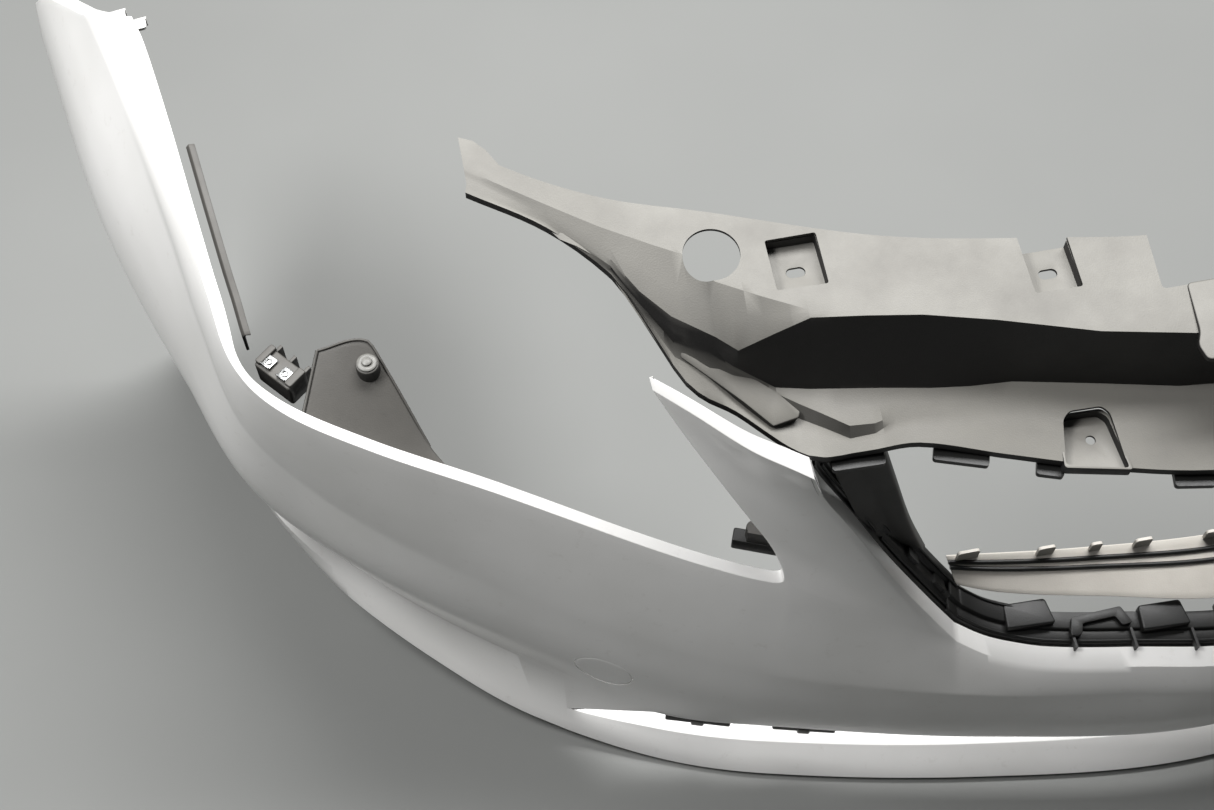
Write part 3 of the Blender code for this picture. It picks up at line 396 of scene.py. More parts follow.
def settle(made, sharp=35):
    """Replace a piece by its evaluated mesh, shaded smooth up to an angle in degrees, and drop its tools."""
    bpy.context.view_layer.update()
    graph = bpy.context.evaluated_depsgraph_get()
    data = bpy.data.meshes.new_from_object(made.evaluated_get(graph))
    tools = [step.object for step in made.modifiers if step.type == "BOOLEAN"]
    made.modifiers.clear()
    made.data = data
    data.name = made.name
    data.shade_smooth()
    data.set_sharp_from_angle(angle=radians(sharp))
    for tool in tools:
        bpy.data.objects.remove(tool, do_unlink=True)
    return made


def solid(made, wall, inside=0):
    """Give a sheet its wall, behind its faces; inside picks the material of the far face."""
    step = made.modifiers.new("Wall", "SOLIDIFY")
    step.thickness = wall
    step.offset = -1.0
    step.material_offset = inside


def rounded(made, width, segments=3, angle=38):
    step = made.modifiers.new("Rounding", "BEVEL")
    step.width = width
    step.segments = segments
    step.limit_method = "ANGLE"
    step.angle_limit = radians(angle)


def carve(made, tool_mesh):
    """Cut away a mesh measured from the nose."""
    bmesh.ops.recalc_face_normals(tool_mesh, faces=tool_mesh.faces)
    tool = new_object(made.name + "_tool", tool_mesh)
    tool.hide_render = True
    step = made.modifiers.new("Cut", "BOOLEAN")
    step.operation = "DIFFERENCE"
    step.object = tool


def finish_piece(made, body, cad_node):
    """Hand a finished piece over to the frame."""
    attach(made, body)
    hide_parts(cad_node)


def finish_joined(name, pieces, cad_node):
    """Join pieces that stay with the cover and hand them over as one."""
    finish_piece(join(name, pieces), "cover", cad_node)


def disc(mesh, centre, radius, height, sides, place=Matrix.Identity(4)):
    """Upright cylinder in millimetres."""
    bmesh.ops.create_cone(mesh, cap_ends=True, segments=sides, radius1=radius * MM, radius2=radius * MM,
                          depth=height * MM, matrix=place @ Matrix.Translation(Vector(centre) * MM))


def outline_prism(mesh, points, low, high):
    """Upright prism in millimetres over a closed outline of (x, y) points."""
    floor = [mesh.verts.new(Vector((x, y, low)) * MM) for x, y in points]
    face = mesh.faces.new(floor)
    made = bmesh.ops.extrude_face_region(mesh, geom=[face])
    top = [item for item in made["geom"] if isinstance(item, bmesh.types.BMVert)]
    bmesh.ops.translate(mesh, verts=top, vec=(0, 0, (high - low) * MM))


def prism(points, low, high):
    """New bmesh that holds one upright prism."""
    mesh = bmesh.new()
    outline_prism(mesh, points, low, high)
    return mesh


def rectangle(left, near, right, far):
    return [(left, near), (right, near), (right, far), (left, far)]


def round_outline(points, radius, count=5):
    """Closed outline with arcs of a radius in its corners, as (x, y) pairs in millimetres."""
    made = []
    for before, corner, after in zip([points[-1]] + points[:-1], points, points[1:] + [points[0]]):
        corner = Vector(corner)
        start = corner + (Vector(before) - corner).normalized() * radius
        end = corner + (Vector(after) - corner).normalized() * radius
        for t in steps(0, 1, count):
            made.append(tuple(start * (1 - t) ** 2 + corner * 2 * t * (1 - t) + end * t * t))
    return made


def shifted(point, x, y, z):
    """A point moved by millimetres."""
    return point + Vector((x, y, z)) * MM


def flipped(point, side):
    """A point written for the -X half, on the side that is asked for."""
    return Vector((point.x * -side, point.y, point.z))


def mirror_rows(rows, side):
    return [[flipped(point, side) for point in row] for row in rows]


def full_width(rows):
    """Rows from the centre outwards on -X, each joined with its mirror image at +X."""
    return [[flipped(point, 1) for point in row[:0:-1]] + row for row in rows]


def facing(mesh, way):
    """Point an open surface's faces to one side, judged by their total area."""
    bmesh.ops.recalc_face_normals(mesh, faces=mesh.faces)
    total = sum((face.normal * face.calc_area() for face in mesh.faces), Vector())
    if total.dot(Vector(way)) < 0:
        bmesh.ops.reverse_faces(mesh, faces=mesh.faces)


def sheet_piece(name, rows, way, finish, wall=PLATE, edge=0.0007, crease=0.003):
    """Sheet-like moulding lofted through rows of points, with rounded folds and edges."""
    mesh = bmesh.new()
    lay_grid(mesh, rows)
    bmesh.ops.remove_doubles(mesh, verts=mesh.verts, dist=WELD)
    facing(mesh, way)
    made = new_object(name, mesh, finish)
    if crease:
        rounded(made, crease, 3, 24)
    solid(made, wall)
    rounded(made, edge, 2, 50)
    return made


SIDES = {"right": -1, "left": 1}     # the car's own right is at -X


# ---------------------------------------------------------------- geometry node trees

def new_tree(name, sizes):
    """Geometry node tree with named inputs for its sizes and its material, and its input node."""
    tree = bpy.data.node_groups.new(name, "GeometryNodeTree")
    face = tree.interface
    face.new_socket("Geometry", in_out="INPUT", socket_type="NodeSocketGeometry")
    for label, default in sizes:
        face.new_socket(label, in_out="INPUT", socket_type="NodeSocketFloat").default_value = default
    face.new_socket("Material", in_out="INPUT", socket_type="NodeSocketMaterial")
    face.new_socket("Geometry", in_out="OUTPUT", socket_type="NodeSocketGeometry")
    return tree, node(tree, "NodeGroupInput")


def end_tree(tree, start, shape):
    """End a tree: instances made real, material set, result put out."""
    real = node(tree, "GeometryNodeRealizeInstances", None, {"Geometry": shape.outputs[0]})
    done = node(tree, "GeometryNodeSetMaterial", None,
                {"Geometry": real.outputs[0], "Material": start.outputs["Material"]})
    node(tree, "NodeGroupOutput", None, {0: done.outputs[0]})
    return tree


def tab_tree():
    """Rounded blocks standing on a mesh's points, turned to each point's "along" vector."""
    tree, start = new_tree("tabs_on_points",
                           (("Length", 0.02), ("Depth", 0.01), ("Height", 0.005), ("Corner", 0.001)))
    outline = node(tree, "GeometryNodeCurvePrimitiveQuadrilateral", None,
                   {"Width": start.outputs["Length"], "Height": start.outputs["Depth"]})
    corners = node(tree, "GeometryNodeFilletCurve", {"mode": "POLY", "Count": 4},
                   {"Curve": outline.outputs[0], "Radius": start.outputs["Corner"]})
    flat = node(tree, "GeometryNodeFillCurve", {"mode": "NGONS"}, {"Curve": corners.outputs[0]})
    block = node(tree, "GeometryNodeExtrudeMesh", {"mode": "FACES", "Individual": False},
                 {"Mesh": flat.outputs[0], "Offset Scale": start.outputs["Height"]})
    under = node(tree, "GeometryNodeFlipFaces", None, {"Mesh": flat.outputs[0]})
    closed = node(tree, "GeometryNodeJoinGeometry")
    tree.links.new(block.outputs["Mesh"], closed.inputs[0])
    tree.links.new(under.outputs[0], closed.inputs[0])
    welded = node(tree, "GeometryNodeMergeByDistance", {"Distance": 0.00001}, {"Geometry": closed.outputs[0]})
    along = node(tree, "GeometryNodeInputNamedAttribute", {"data_type": "FLOAT_VECTOR", "Name": "along"})
    up = node(tree, "GeometryNodeInputNamedAttribute", {"data_type": "FLOAT_VECTOR", "Name": "up"})
    turn = node(tree, "FunctionNodeAxesToRotation", {"primary_axis": "Z", "secondary_axis": "X"},
                {"Primary Axis": up.outputs[0], "Secondary Axis": along.outputs[0]})
    placed = node(tree, "GeometryNodeInstanceOnPoints", None,
                  {"Points": start.outputs["Geometry"], "Instance": welded.outputs[0],
                   "Rotation": turn.outputs[0]})
    return end_tree(tree, start, placed)


def bead_tree():
    """Round bead that follows a mesh's edges."""
    tree, start = new_tree("bead_along_edges", (("Radius", 0.001),))
    path = node(tree, "GeometryNodeMeshToCurve", None, {"Mesh": start.outputs["Geometry"]})
    ring = node(tree, "GeometryNodeCurvePrimitiveCircle", {"Resolution": 8},
                {"Radius": start.outputs["Radius"]})
    tube = node(tree, "GeometryNodeCurveToMesh", {"Fill Caps": True},
                {"Curve": path.outputs[0], "Profile Curve": ring.outputs[0]})
    smooth = node(tree, "GeometryNodeSetShadeSmooth", None, {"Geometry": tube.outputs[0]})
    return end_tree(tree, start, smooth)


def grown(name, mesh, tree, values, sharp=35):
    """Object made by a geometry node tree from a base mesh, settled into a plain mesh."""
    made = new_object(name, mesh)
    step = made.modifiers.new("Nodes", "NODES")
    step.node_group = tree
    sockets = {item.name: item.identifier for item in tree.interface.items_tree if item.in_out == "INPUT"}
    for label, value in values.items():
        step[sockets[label]] = value
    return settle(made, sharp)


def points_mesh(spots):
    """Base mesh of points, each with its own "along" and "up" vectors; spots are (place, along, up)."""
    mesh = bmesh.new()
    along = mesh.verts.layers.float_vector.new("along")
    up = mesh.verts.layers.float_vector.new("up")
    for place, run, rise in spots:
        vert = mesh.verts.new(place)
        vert[along] = run
        vert[up] = rise
    return mesh


def path_mesh(paths):
    """Base mesh of edges through lists of points."""
    mesh = bmesh.new()
    for path in paths:
        verts = [mesh.verts.new(point) for point in path]
        for first, second in zip(verts, verts[1:]):
            mesh.edges.new((first, second))
    return mesh


def tabs(name, spots, size, finish, corner):
    length, depth, height = size
    return grown(name, points_mesh(spots), TAB_TREE,
                 {"Length": length, "Depth": depth, "Height": height, "Corner": corner, "Material": finish})


def beads(name, paths, radius, finish):
    return grown(name, path_mesh(paths), BEAD_TREE, {"Radius": radius, "Material": finish}, 60)


def join(name, pieces):
    """Join settled pieces into one object."""
    mesh = bmesh.new()
    finishes = []
    for piece in pieces:
        first = len(mesh.faces)
        mesh.from_mesh(piece.data)
        mesh.faces.ensure_lookup_table()
        order = []
        for finish in piece.data.materials:
            if finish not in finishes:
                finishes.append(finish)
            order.append(finishes.index(finish))
        for face in mesh.faces[first:]:
            if order:
                face.material_index = order[min(face.material_index, len(order) - 1)]
    for piece in pieces:
        bpy.data.objects.remove(piece, do_unlink=True)
    return mesh_object(name, mesh, finishes)


TAB_TREE = tab_tree()
BEAD_TREE = bead_tree()


# ---------------------------------------------------------------- materials

def new_material(name):
    """Material with its node tree, its shader and the place on the piece that its patterns follow."""
    made = bpy.data.materials.new(name)
    made.use_nodes = True
    tree = made.node_tree
    return made, tree, tree.nodes["Principled BSDF"], node(tree, "ShaderNodeTexCoord").outputs["Object"]


def tinted(tree, value, low, high, most, first, second):
    """Colour that goes from first to second, by that share at most, as a value goes from low to high."""
    share = node(tree, "ShaderNodeMapRange", {1: low, 2: high, 3: 0, 4: most}, {0: value})
    blend = node(tree, "ShaderNodeMix", {"data_type": "RGBA"}, {0: share.outputs[0]})
    for index, colour in ((6, first), (7, second)):
        if isinstance(colour, str):
            blend.inputs[index].default_value = linear(colour)
        else:
            tree.links.new(colour, blend.inputs[index])
    return blend.outputs[2]


def chipped(tree, place, tint, centre, radius, colour):
    """The tint with a ragged spot in it; the radius is in millimetres."""
    ragged = node(tree, "ShaderNodeTexNoise", {"Scale": 1 / (radius * MM * 0.8)}, {"Vector": place})
    far = node(tree, "ShaderNodeVectorMath", {"operation": "DISTANCE", 1: tuple(centre)}, {0: place})
    wobble = node(tree, "ShaderNodeMath", {"operation": "MULTIPLY_ADD", 1: -radius * MM * 1.6},
                  {0: ragged.outputs[0], 2: far.outputs["Value"]})
    return tinted(tree, wobble.outputs[0], 0, -radius * MM * 0.9, 1, tint, colour)


def dress(tree, shader, tint, roughness, relief=None, depth=0.0, strength=0.0):
    """Give a shader its colour and roughness, and a relief whose depth is in millimetres."""
    tree.links.new(tint, shader.inputs["Base Color"])
    if isinstance(roughness, float):
        shader.inputs["Roughness"].default_value = roughness
    else:
        tree.links.new(roughness.outputs[0], shader.inputs["Roughness"])
    if relief is not None:
        raised = node(tree, "ShaderNodeBump", {"Strength": strength, "Distance": depth * MM},
                      {"Height": relief})
        tree.links.new(raised.outputs[0], shader.inputs["Normal"])


def paint_material():
    """Two-layer white automotive paint: sprayed base coat under clear coat, which gives a soft sheen with
    a faint orange peel, patches of grime, dark chips on the edge of the wing and a speck on the face."""
    made, tree, shader, place = new_material("white_automotive_paint")
    cloud = node(tree, "ShaderNodeTexNoise", {"Scale": 1 / (160 * MM), "Detail": 3, "Roughness": 0.6},
                 {"Vector": place}).outputs[0]
    grime = node(tree, "ShaderNodeTexNoise", {"Scale": 1 / (12 * MM), "Detail": 4, "Roughness": 0.65},
                 {"Vector": place}).outputs[0]
    tint = tinted(tree, cloud, 0.35, 0.7, 1, "#efeeec", "#e6e5e2")
    tint = tinted(tree, grime, 0.62, 0.8, 0.35, tint, "#c9c5bf")
    for station in (13.55, 13.3, 13.1):
        chip = shifted(on_line(LAMP, station) + NOSE, 2.5, 0, 0.5)
        tint = chipped(tree, place, tint, chip, 3.5, "#4b4742")
    speck = on_line(CREASE, 5.55) + Vector((0, 0.008, 0.014)) + NOSE
    tint = chipped(tree, place, tint, speck, 3, "#8d8982")
    haze = node(tree, "ShaderNodeMapRange", {1: 0.3, 2: 0.7, 3: 0.30, 4: 0.38}, {0: cloud})
    # Orange peel has waves of 3 to 4 mm.
    peel = node(tree, "ShaderNodeTexNoise", {"Scale": 1 / (3.5 * MM), "Detail": 1}, {"Vector": place})
    dress(tree, shader, tint, haze, peel.outputs[0], 0.04, 0.5)
    for label, value in (("Coat Weight", 0.55), ("Coat Roughness", 0.16), ("Coat IOR", 1.5)):
        shader.inputs[label].default_value = value
    return made


def raw_back_material():
    """Back of the moulding: dark unpainted PP with a patchy mist of overspray."""
    made, tree, shader, place = new_material("unpainted_pp")
    mist = node(tree, "ShaderNodeTexNoise", {"Scale": 1 / (50 * MM), "Detail": 4, "Roughness": 0.7},
                {"Vector": place})
    tint = tinted(tree, mist.outputs[0], 0.4, 0.75, 0.2, "#2b2b2b", "#777674")
    grain = node(tree, "ShaderNodeTexNoise", {"Scale": 1 / (1.2 * MM), "Detail": 2}, {"Vector": place})
    dress(tree, shader, tint, 0.6, grain.outputs[0], 0.06, 0.6)
    return made


def grained_material(name, bare, dust_and_sheen, smudge, roughness, dust_and_sheen_low=0.35, dust_and_sheen_high=0.93, most=1.0):
    """PP moulded with a fine leather grain; faces that look up take a lighter colour, partly a dusting with
    smudges in it and partly a painted sheen for the overhead light's reflection.
    """
    made, tree, shader, place = new_material(name)
    patch = node(tree, "ShaderNodeTexNoise", {"Scale": 1 / (45 * MM), "Detail": 5, "Roughness": 0.62},
                 {"Vector": place}).outputs[0]
    streak = node(tree, "ShaderNodeTexNoise", {"Scale": 1 / (6 * MM), "Detail": 4, "Roughness": 0.7},
                  {"Vector": place}).outputs[0]
    dust_and_sheen_tint = tinted(tree, patch, 0.35, 0.72, 0.55, dust_and_sheen, smudge)
    dust_and_sheen_tint = tinted(tree, streak, 0.6, 0.78, 0.4, dust_and_sheen_tint, smudge)
    shape = node(tree, "ShaderNodeNewGeometry")
    upward = node(tree, "ShaderNodeSeparateXYZ", None, {0: shape.outputs["Normal"]}).outputs["Z"]
    # Painted sheen and dusting: the more a face looks up, the more it takes the lighter colour.
    tint = tinted(tree, upward, dust_and_sheen_low, dust_and_sheen_high, most, bare, dust_and_sheen_tint)
    worn = node(tree, "ShaderNodeMapRange", {1: 0.3, 2: 0.75, 3: roughness, 4: roughness + 0.12}, {0: patch})
    # The real grain is 0.3 mm; 1.1 mm is the finest that still shows at this distance.
    grain = node(tree, "ShaderNodeTexVoronoi", {"Scale": 1 / (1.1 * MM)}, {"Vector": place})
    dress(tree, shader, tint, worn, grain.outputs["Distance"], 0.12, 0.5)
    return made


def nylon_material():
    """Natural grey nylon: waxy, a little translucent in look, with a soft sheen."""
    made, tree, shader, place = new_material("grey_nylon")
    cloud = node(tree, "ShaderNodeTexNoise", {"Scale": 1 / (4 * MM), "Detail": 3},
                 {"Vector": place}).outputs[0]
    tint = tinted(tree, cloud, 0.35, 0.7, 1, "#7b7a76", "#64635f")
    dress(tree, shader, tint, 0.42, cloud, 0.05, 0.4)
    return made


def zinc_material():
    """Zinc-plated spring steel: bright, finely rolled, with a cloudy plating."""
    made, tree, shader, place = new_material("zinc_plated_steel")
    cloud = node(tree, "ShaderNodeTexNoise", {"Scale": 1 / (3 * MM), "Detail": 4, "Roughness": 0.6},
                 {"Vector": place}).outputs[0]
    tint = tinted(tree, cloud, 0.3, 0.75, 1, "#8f908f", "#5f6061")
    glint = node(tree, "ShaderNodeMapRange", {1: 0.3, 2: 0.7, 3: 0.22, 4: 0.4}, {0: cloud})
    dress(tree, shader, tint, glint, cloud, 0.04, 0.5)
    shader.inputs["Metallic"].default_value = 1.0
    return made


PAINT = paint_material()
RAW_BACK = raw_back_material()
# The third colour of each lies on faces that look up: a dusting, and a painted sheen for the reflection of
# the overhead light.
SHROUD_PP = grained_material("grained_black_pp", "#191817", "#77756f", "#6b6965", 0.5, 0.5, 0.96)
FRAME_PP = grained_material("glossy_black_pp", "#131312", "#1b1b1a", "#161615", 0.42, 0.6, 0.98, 0.8)
# Painted light: the guide's colours are made lighter to make up for the shade that the shroud casts on it.
GUIDE_PP = grained_material("dusty_grey_pp_painted_bright", "#98948d", "#dcd7ce", "#c5bfb6", 0.55, -0.4, 0.6)
BRACKET_PP = grained_material("moulded_grey_pp", "#2d2c2a", "#55534f", "#43413e", 0.5, 0.1, 0.95)
NYLON = nylon_material()
ZINC = zinc_material()


# ---------------------------------------------------------------- painted skin

TOW_STATION = 5.36
TOW_HEIGHT = 1.33                    # between CHEEK_LOW at 1 and CHEEK at 2
TOW_RADIUS = 27.0
TOW_GAP = 0.6
TOW_SIDES = 96


def band_point(at, v):
    return on_line(up_the_band(at), v)


def tow_frame():
    """Place on the band with +Z along its outward normal."""
    centre = band_point(TOW_STATION, TOW_HEIGHT)
    along = band_point(TOW_STATION + 0.05, TOW_HEIGHT) - band_point(TOW_STATION - 0.05, TOW_HEIGHT)
    upward = band_point(TOW_STATION, TOW_HEIGHT + 0.05) - band_point(TOW_STATION, TOW_HEIGHT - 0.05)
    out = along.cross(upward).normalized()
    if out.y > 0:
        out.negate()
    along.normalize()
    turn = Matrix((along, out.cross(along), out)).transposed().to_4x4()
    return Matrix.Translation(centre) @ turn


def add_wing_hooks(mesh, side):
    """Two painted hooks behind the wing's upper rear corner, each a rounded plate over a rib."""
    for x, y in ((-848, 649), (-832, 637)):
        outline = round_outline([(x - 7, y - 9), (x + 9, y - 7), (x + 8, y + 4), (x - 9, y + 1)], 3)
        hook = bmesh.new()
        outline_prism(hook, outline, 511, 514)
        outline_prism(hook, [(x - 9, y - 1), (x + 9, y + 2), (x + 9, y + 4), (x - 9, y + 1)], 505, 514)
        if side > 0:
            bmesh.ops.scale(hook, vec=(-1, 1, 1), verts=hook.verts)
        bmesh.ops.recalc_face_normals(hook, faces=hook.faces)
        data = bpy.data.meshes.new("hook")
        hook.to_mesh(data)
        hook.free()
        mesh.from_mesh(data)
        bpy.data.meshes.remove(data)


def make_skin():
    mesh = skin_surface(density=12, cheek=10, face=6, horn=16)
    bmesh.ops.mirror(mesh, geom=mesh.verts[:] + mesh.edges[:] + mesh.faces[:], merge_dist=0.00005, axis="X")
    bmesh.ops.remove_doubles(mesh, verts=mesh.verts, dist=WELD)
    facing(mesh, (0, -1, 0))
    surface = BVHTree.FromBMesh(mesh)
    skin = new_object("painted_skin", mesh, PAINT, RAW_BACK)
    rounded(skin, 0.0032, 4)
    solid(skin, SKIN, inside=1)
    hole = bmesh.new()
    disc(hole, (0, 0, 0), TOW_RADIUS + TOW_GAP, 40, TOW_SIDES, tow_frame())
    carve(skin, hole)
    settle(skin)
    hooks = bmesh.new()
    for side in SIDES.values():
        add_wing_hooks(hooks, side)
    extra = settle(new_object("wing_hooks", hooks, PAINT))
    finish_joined("painted_skin", [skin, extra], "main_skin")
    return surface


def make_tow_cover(surface):
    """Snap-in cover cut from the same surface: rings of points dropped onto it, with a rolled rim."""
    place = tow_frame()
    out = place.to_3x3() @ Vector((0, 0, 1))
    rings = []
    # Each ring is (radius, depth under the surface) in millimetres.
    profile = ((0, 3), (14, 3), (27, 3), (27, 1.2), (26.7, 0.5), (26, 0.1), (24.5, 0), (18, 0), (9, 0),
               (0, 0))
    for radius, drop in profile:
        ring = []
        for index in range(TOW_SIDES):
            angle = 2 * pi * index / TOW_SIDES
            start = place @ (Vector((cos(angle) * radius, sin(angle) * radius, 20)) * MM)
            hit = surface.ray_cast(start, -out)[0]
            ring.append(hit - out * drop * MM)
        rings.append(ring + ring[:1])
    mesh = bmesh.new()
    lay_grid(mesh, rings)
    bmesh.ops.remove_doubles(mesh, verts=mesh.verts, dist=WELD / 2)
    bmesh.ops.recalc_face_normals(mesh, faces=mesh.faces)
    for angle in (30, 150, 270):
        spot_at = Vector((cos(radians(angle)) * 20, sin(radians(angle)) * 20, -7)) * MM
        leg = place @ Matrix.Translation(spot_at) @ Matrix.Rotation(radians(angle), 4, "Z")
        bmesh.ops.create_cube(mesh, size=1, matrix=leg @ Matrix.Diagonal((0.002, 0.008, 0.009, 1)))
    cover = settle(new_object("tow_hook_cover", mesh, PAINT), 40)
    finish_piece(cover, "tow_cover", "tow_eye_cover")


# ---------------------------------------------------------------- upper shroud

SHROUD_HOLE = (-428, 287)
SHROUD_HOLE_RADIUS = 21


def shroud_columns():
    corners = sorted({at for line in SHROUD_LINES for at in line})
    made = []
    for first, last in zip(corners, corners[1:]):
        made += steps(first, last, 1 + (last - first) // 12)[:-1]
    return made + corners[-1:]


def on_polyline(line, at):
    """Point of a shape line that runs straight from corner to corner."""
    keys = sorted(line)
    low = min(max(bisect_right(keys, at) - 1, 0), len(keys) - 2)
    first, last = keys[low], keys[low + 1]
    return (Vector(line[first]) * MM).lerp(Vector(line[last]) * MM, (at - first) / (last - first))


def on_shroud(line, at):
    """The outer edges of the shroud are smooth, and the folds between its facets are straight."""
    return on_line(line, at) if line in (SHROUD_REAR, SHROUD_FRONT) else on_polyline(line, at)


def shroud_rows(spans):
    """Rows of points across the whole width; spans gives the steps between the shape lines."""
    half = shroud_columns()
    rows = []
    for (first, second), count in zip(zip(SHROUD_LINES, SHROUD_LINES[1:]), spans):
        for v in steps(0, 1, count)[:-1]:
            rows.append([on_shroud(first, at).lerp(on_shroud(second, at), v) for at in half])
    front = [on_line(SHROUD_FRONT, at) for at in half]
    rows.append(front)
    rows.append([shifted(point, 0, -0.8, -6) for point in front])
    return full_width(rows)


def make_trays():
    """Recessed trays of the shroud, each a box hollowed from above with a slot through its floor."""
    pieces = []
    for side in SIDES.values():
        for outline, floor, rim, rear, (slot_x, slot_y), (length, width) in TRAYS:
            inner = [(-side * x, y) for x, y in outline]
            mesh = prism([(x, min(y, rear)) for x, y in grow(inner, TRAY_WALL)], floor - PLATE / MM, rim)
            bmesh.ops.recalc_face_normals(mesh, faces=mesh.faces)
            piece = new_object("tray", mesh, SHROUD_PP)
            carve(piece, prism(inner, floor, rim + 4))
            slot = slot_outline(-side * slot_x, slot_y, (length - width) / 2, width / 2)
            carve(piece, prism(slot, floor - 9, floor + 3))
            rounded(piece, 0.0006, 2, 50)
            pieces.append(settle(piece, 30))
    return pieces


def slot_outline(x, y, half, radius):
    made = []
    for index in range(24):
        angle = 2 * pi * (index + 0.5) / 24
        made.append((x + cos(angle) * radius + (half if cos(angle) > 0 else -half), y + sin(angle) * radius))
    return made


def grow(outline, far):
    """Outline moved outwards from its middle by about far millimetres on each side."""
    cx = sum(x for x, y in outline) / len(outline)
    cy = sum(y for x, y in outline) / len(outline)
    return [(x + (far if x > cx else -far), y + (far if y > cy else -far)) for x, y in outline]


TRAY_WALL = 2.3
# Outline, floor, rim, rear end, slot's middle and slot's size, in millimetres, for the -X half.
TRAYS = (
    (round_outline([(-388, 250), (-350, 249), (-350, 291), (-388, 291)], 2, 3),
     567, 576, 300, (-369, 268), (14, 8)),
    (round_outline([(-207, 213), (-172, 212), (-172, 262), (-208, 266)], 2, 3),
     567, 576, 252, (-190, 232), (14, 8)),
    (round_outline([(-199, 110), (-155, 99), (-158, 141), (-163, 147), (-187, 148), (-193, 143)], 3, 4),
     494, 502, 300, (-173, 129), (7.2, 7)),
)


def make_shroud():
    mesh = bmesh.new()
    lay_grid(mesh, shroud_rows((6, 2, 3, 2, 1, 3)))
    bmesh.ops.remove_doubles(mesh, verts=mesh.verts, dist=WELD)
    facing(mesh, (0, -0.4, 1))
    shroud = new_object("shroud_panel", mesh, SHROUD_PP)
    solid(shroud, PLATE)
    settle(shroud)
    openings = bmesh.new()
    outline_prism(openings, round_outline([(-117, 199), (117, 199), (112, 300), (-112, 300)], 4), 560, 600)
    for side in SIDES.values():
        disc(openings, (-side * SHROUD_HOLE[0], SHROUD_HOLE[1], 580), SHROUD_HOLE_RADIUS, 40, 72)
        for tray in TRAYS:
            outline, floor, rim = tray[:3]
            outline_prism(openings, [(-side * x, y) for x, y in outline], floor - 2, rim + 14)
    carve(shroud, openings)
    rounded(shroud, 0.0011, 2, 28)
    settle(shroud, 16)
    latch = round_outline([(-99, 200), (-103, 160), (-108, 150), (-105, 137), (105, 137), (108, 150),
                           (103, 160), (99, 200)], 4)
    plate = new_object("latch_plate", prism(latch, 573.5, 578.5), SHROUD_PP)
    rounded(plate, 0.0012, 3, 50)
    pieces = [shroud, settle(plate)]
    rear = [(-461, 240, 543), (-440, 229, 538), (-421, 218, 530), (-395, 200, 518), (-381, 183, 513.5)]
    front = [(-461, 231, 537), (-440, 211, 530), (-422, 194, 523), (-403, 175, 513.5), (-383, 179, 512.5)]
    for side in SIDES.values():
        rows = [[Vector((-side * x, y, z)) * MM for x, y, z in row] for row in (rear, front)]
        pieces.append(settle(sheet_piece("pad", rows, (0, 0, 1), SHROUD_PP, 0.009, 0.0014, 0)))
    finish_joined("shroud_panel", pieces + make_trays(), "upper_shroud")


# ---------------------------------------------------------------- grille frame

FRAME_BLOCKS = (66, 179)             # raised blocks, distance from the centre
FRAME_ARCH = 121
GRILLE_TOP = GRILLE_CORNER + 1       # end of the grille opening's edge, at the top of the horn


def side_point(t):
    """Opening edge of the grille on the -X half: along the sill to its corner, then up to GRILLE_TOP."""
    return on_line(SILL, t) if t <= GRILLE_CORNER else on_line(GRILLE_SIDE_UP, t - GRILLE_CORNER)


def side_way(t):
    """Unit direction from the edge into the grille opening, square to the edge and level fore and aft."""
    along = side_point(min(t + 0.06, GRILLE_TOP)) - side_point(max(t - 0.06, 0))
    return Vector((-along.z, 0, along.x)).normalized() * -1


def rail_rows(start, end, count, section):
    """Rows of a rail behind the opening's edge; a section point is (back, into the opening)."""
    columns = []
    for t in steps(start, end, count):
        point, way = side_point(t), side_way(t)
        columns.append([point + Vector((0, back, 0)) * MM + way * into * MM for back, into in section])
    return columns_to_rows(columns)


def rail(name, start, end, count, section, side):
    rows = mirror_rows(rail_rows(start, end, count, section), side)
    return settle(sheet_piece(name, rows, (0, -0.6, 1), FRAME_PP, PLATE, 0.0006, 0.0012))


def rail_path(start, end, count, back, into, side):
    return mirror_rows(rail_rows(start, end, count, [(back, into)]), side)[0]


def raised(name, outline, low, high, place, width, segments):
    """Rounded block on the lower carrier, at a place in millimetres."""
    mesh = prism(outline, low, high)
    bmesh.ops.translate(mesh, verts=mesh.verts, vec=Vector(place) * MM)
    piece = new_object(name, mesh, FRAME_PP)
    rounded(piece, width, segments, 40)
    return settle(piece)


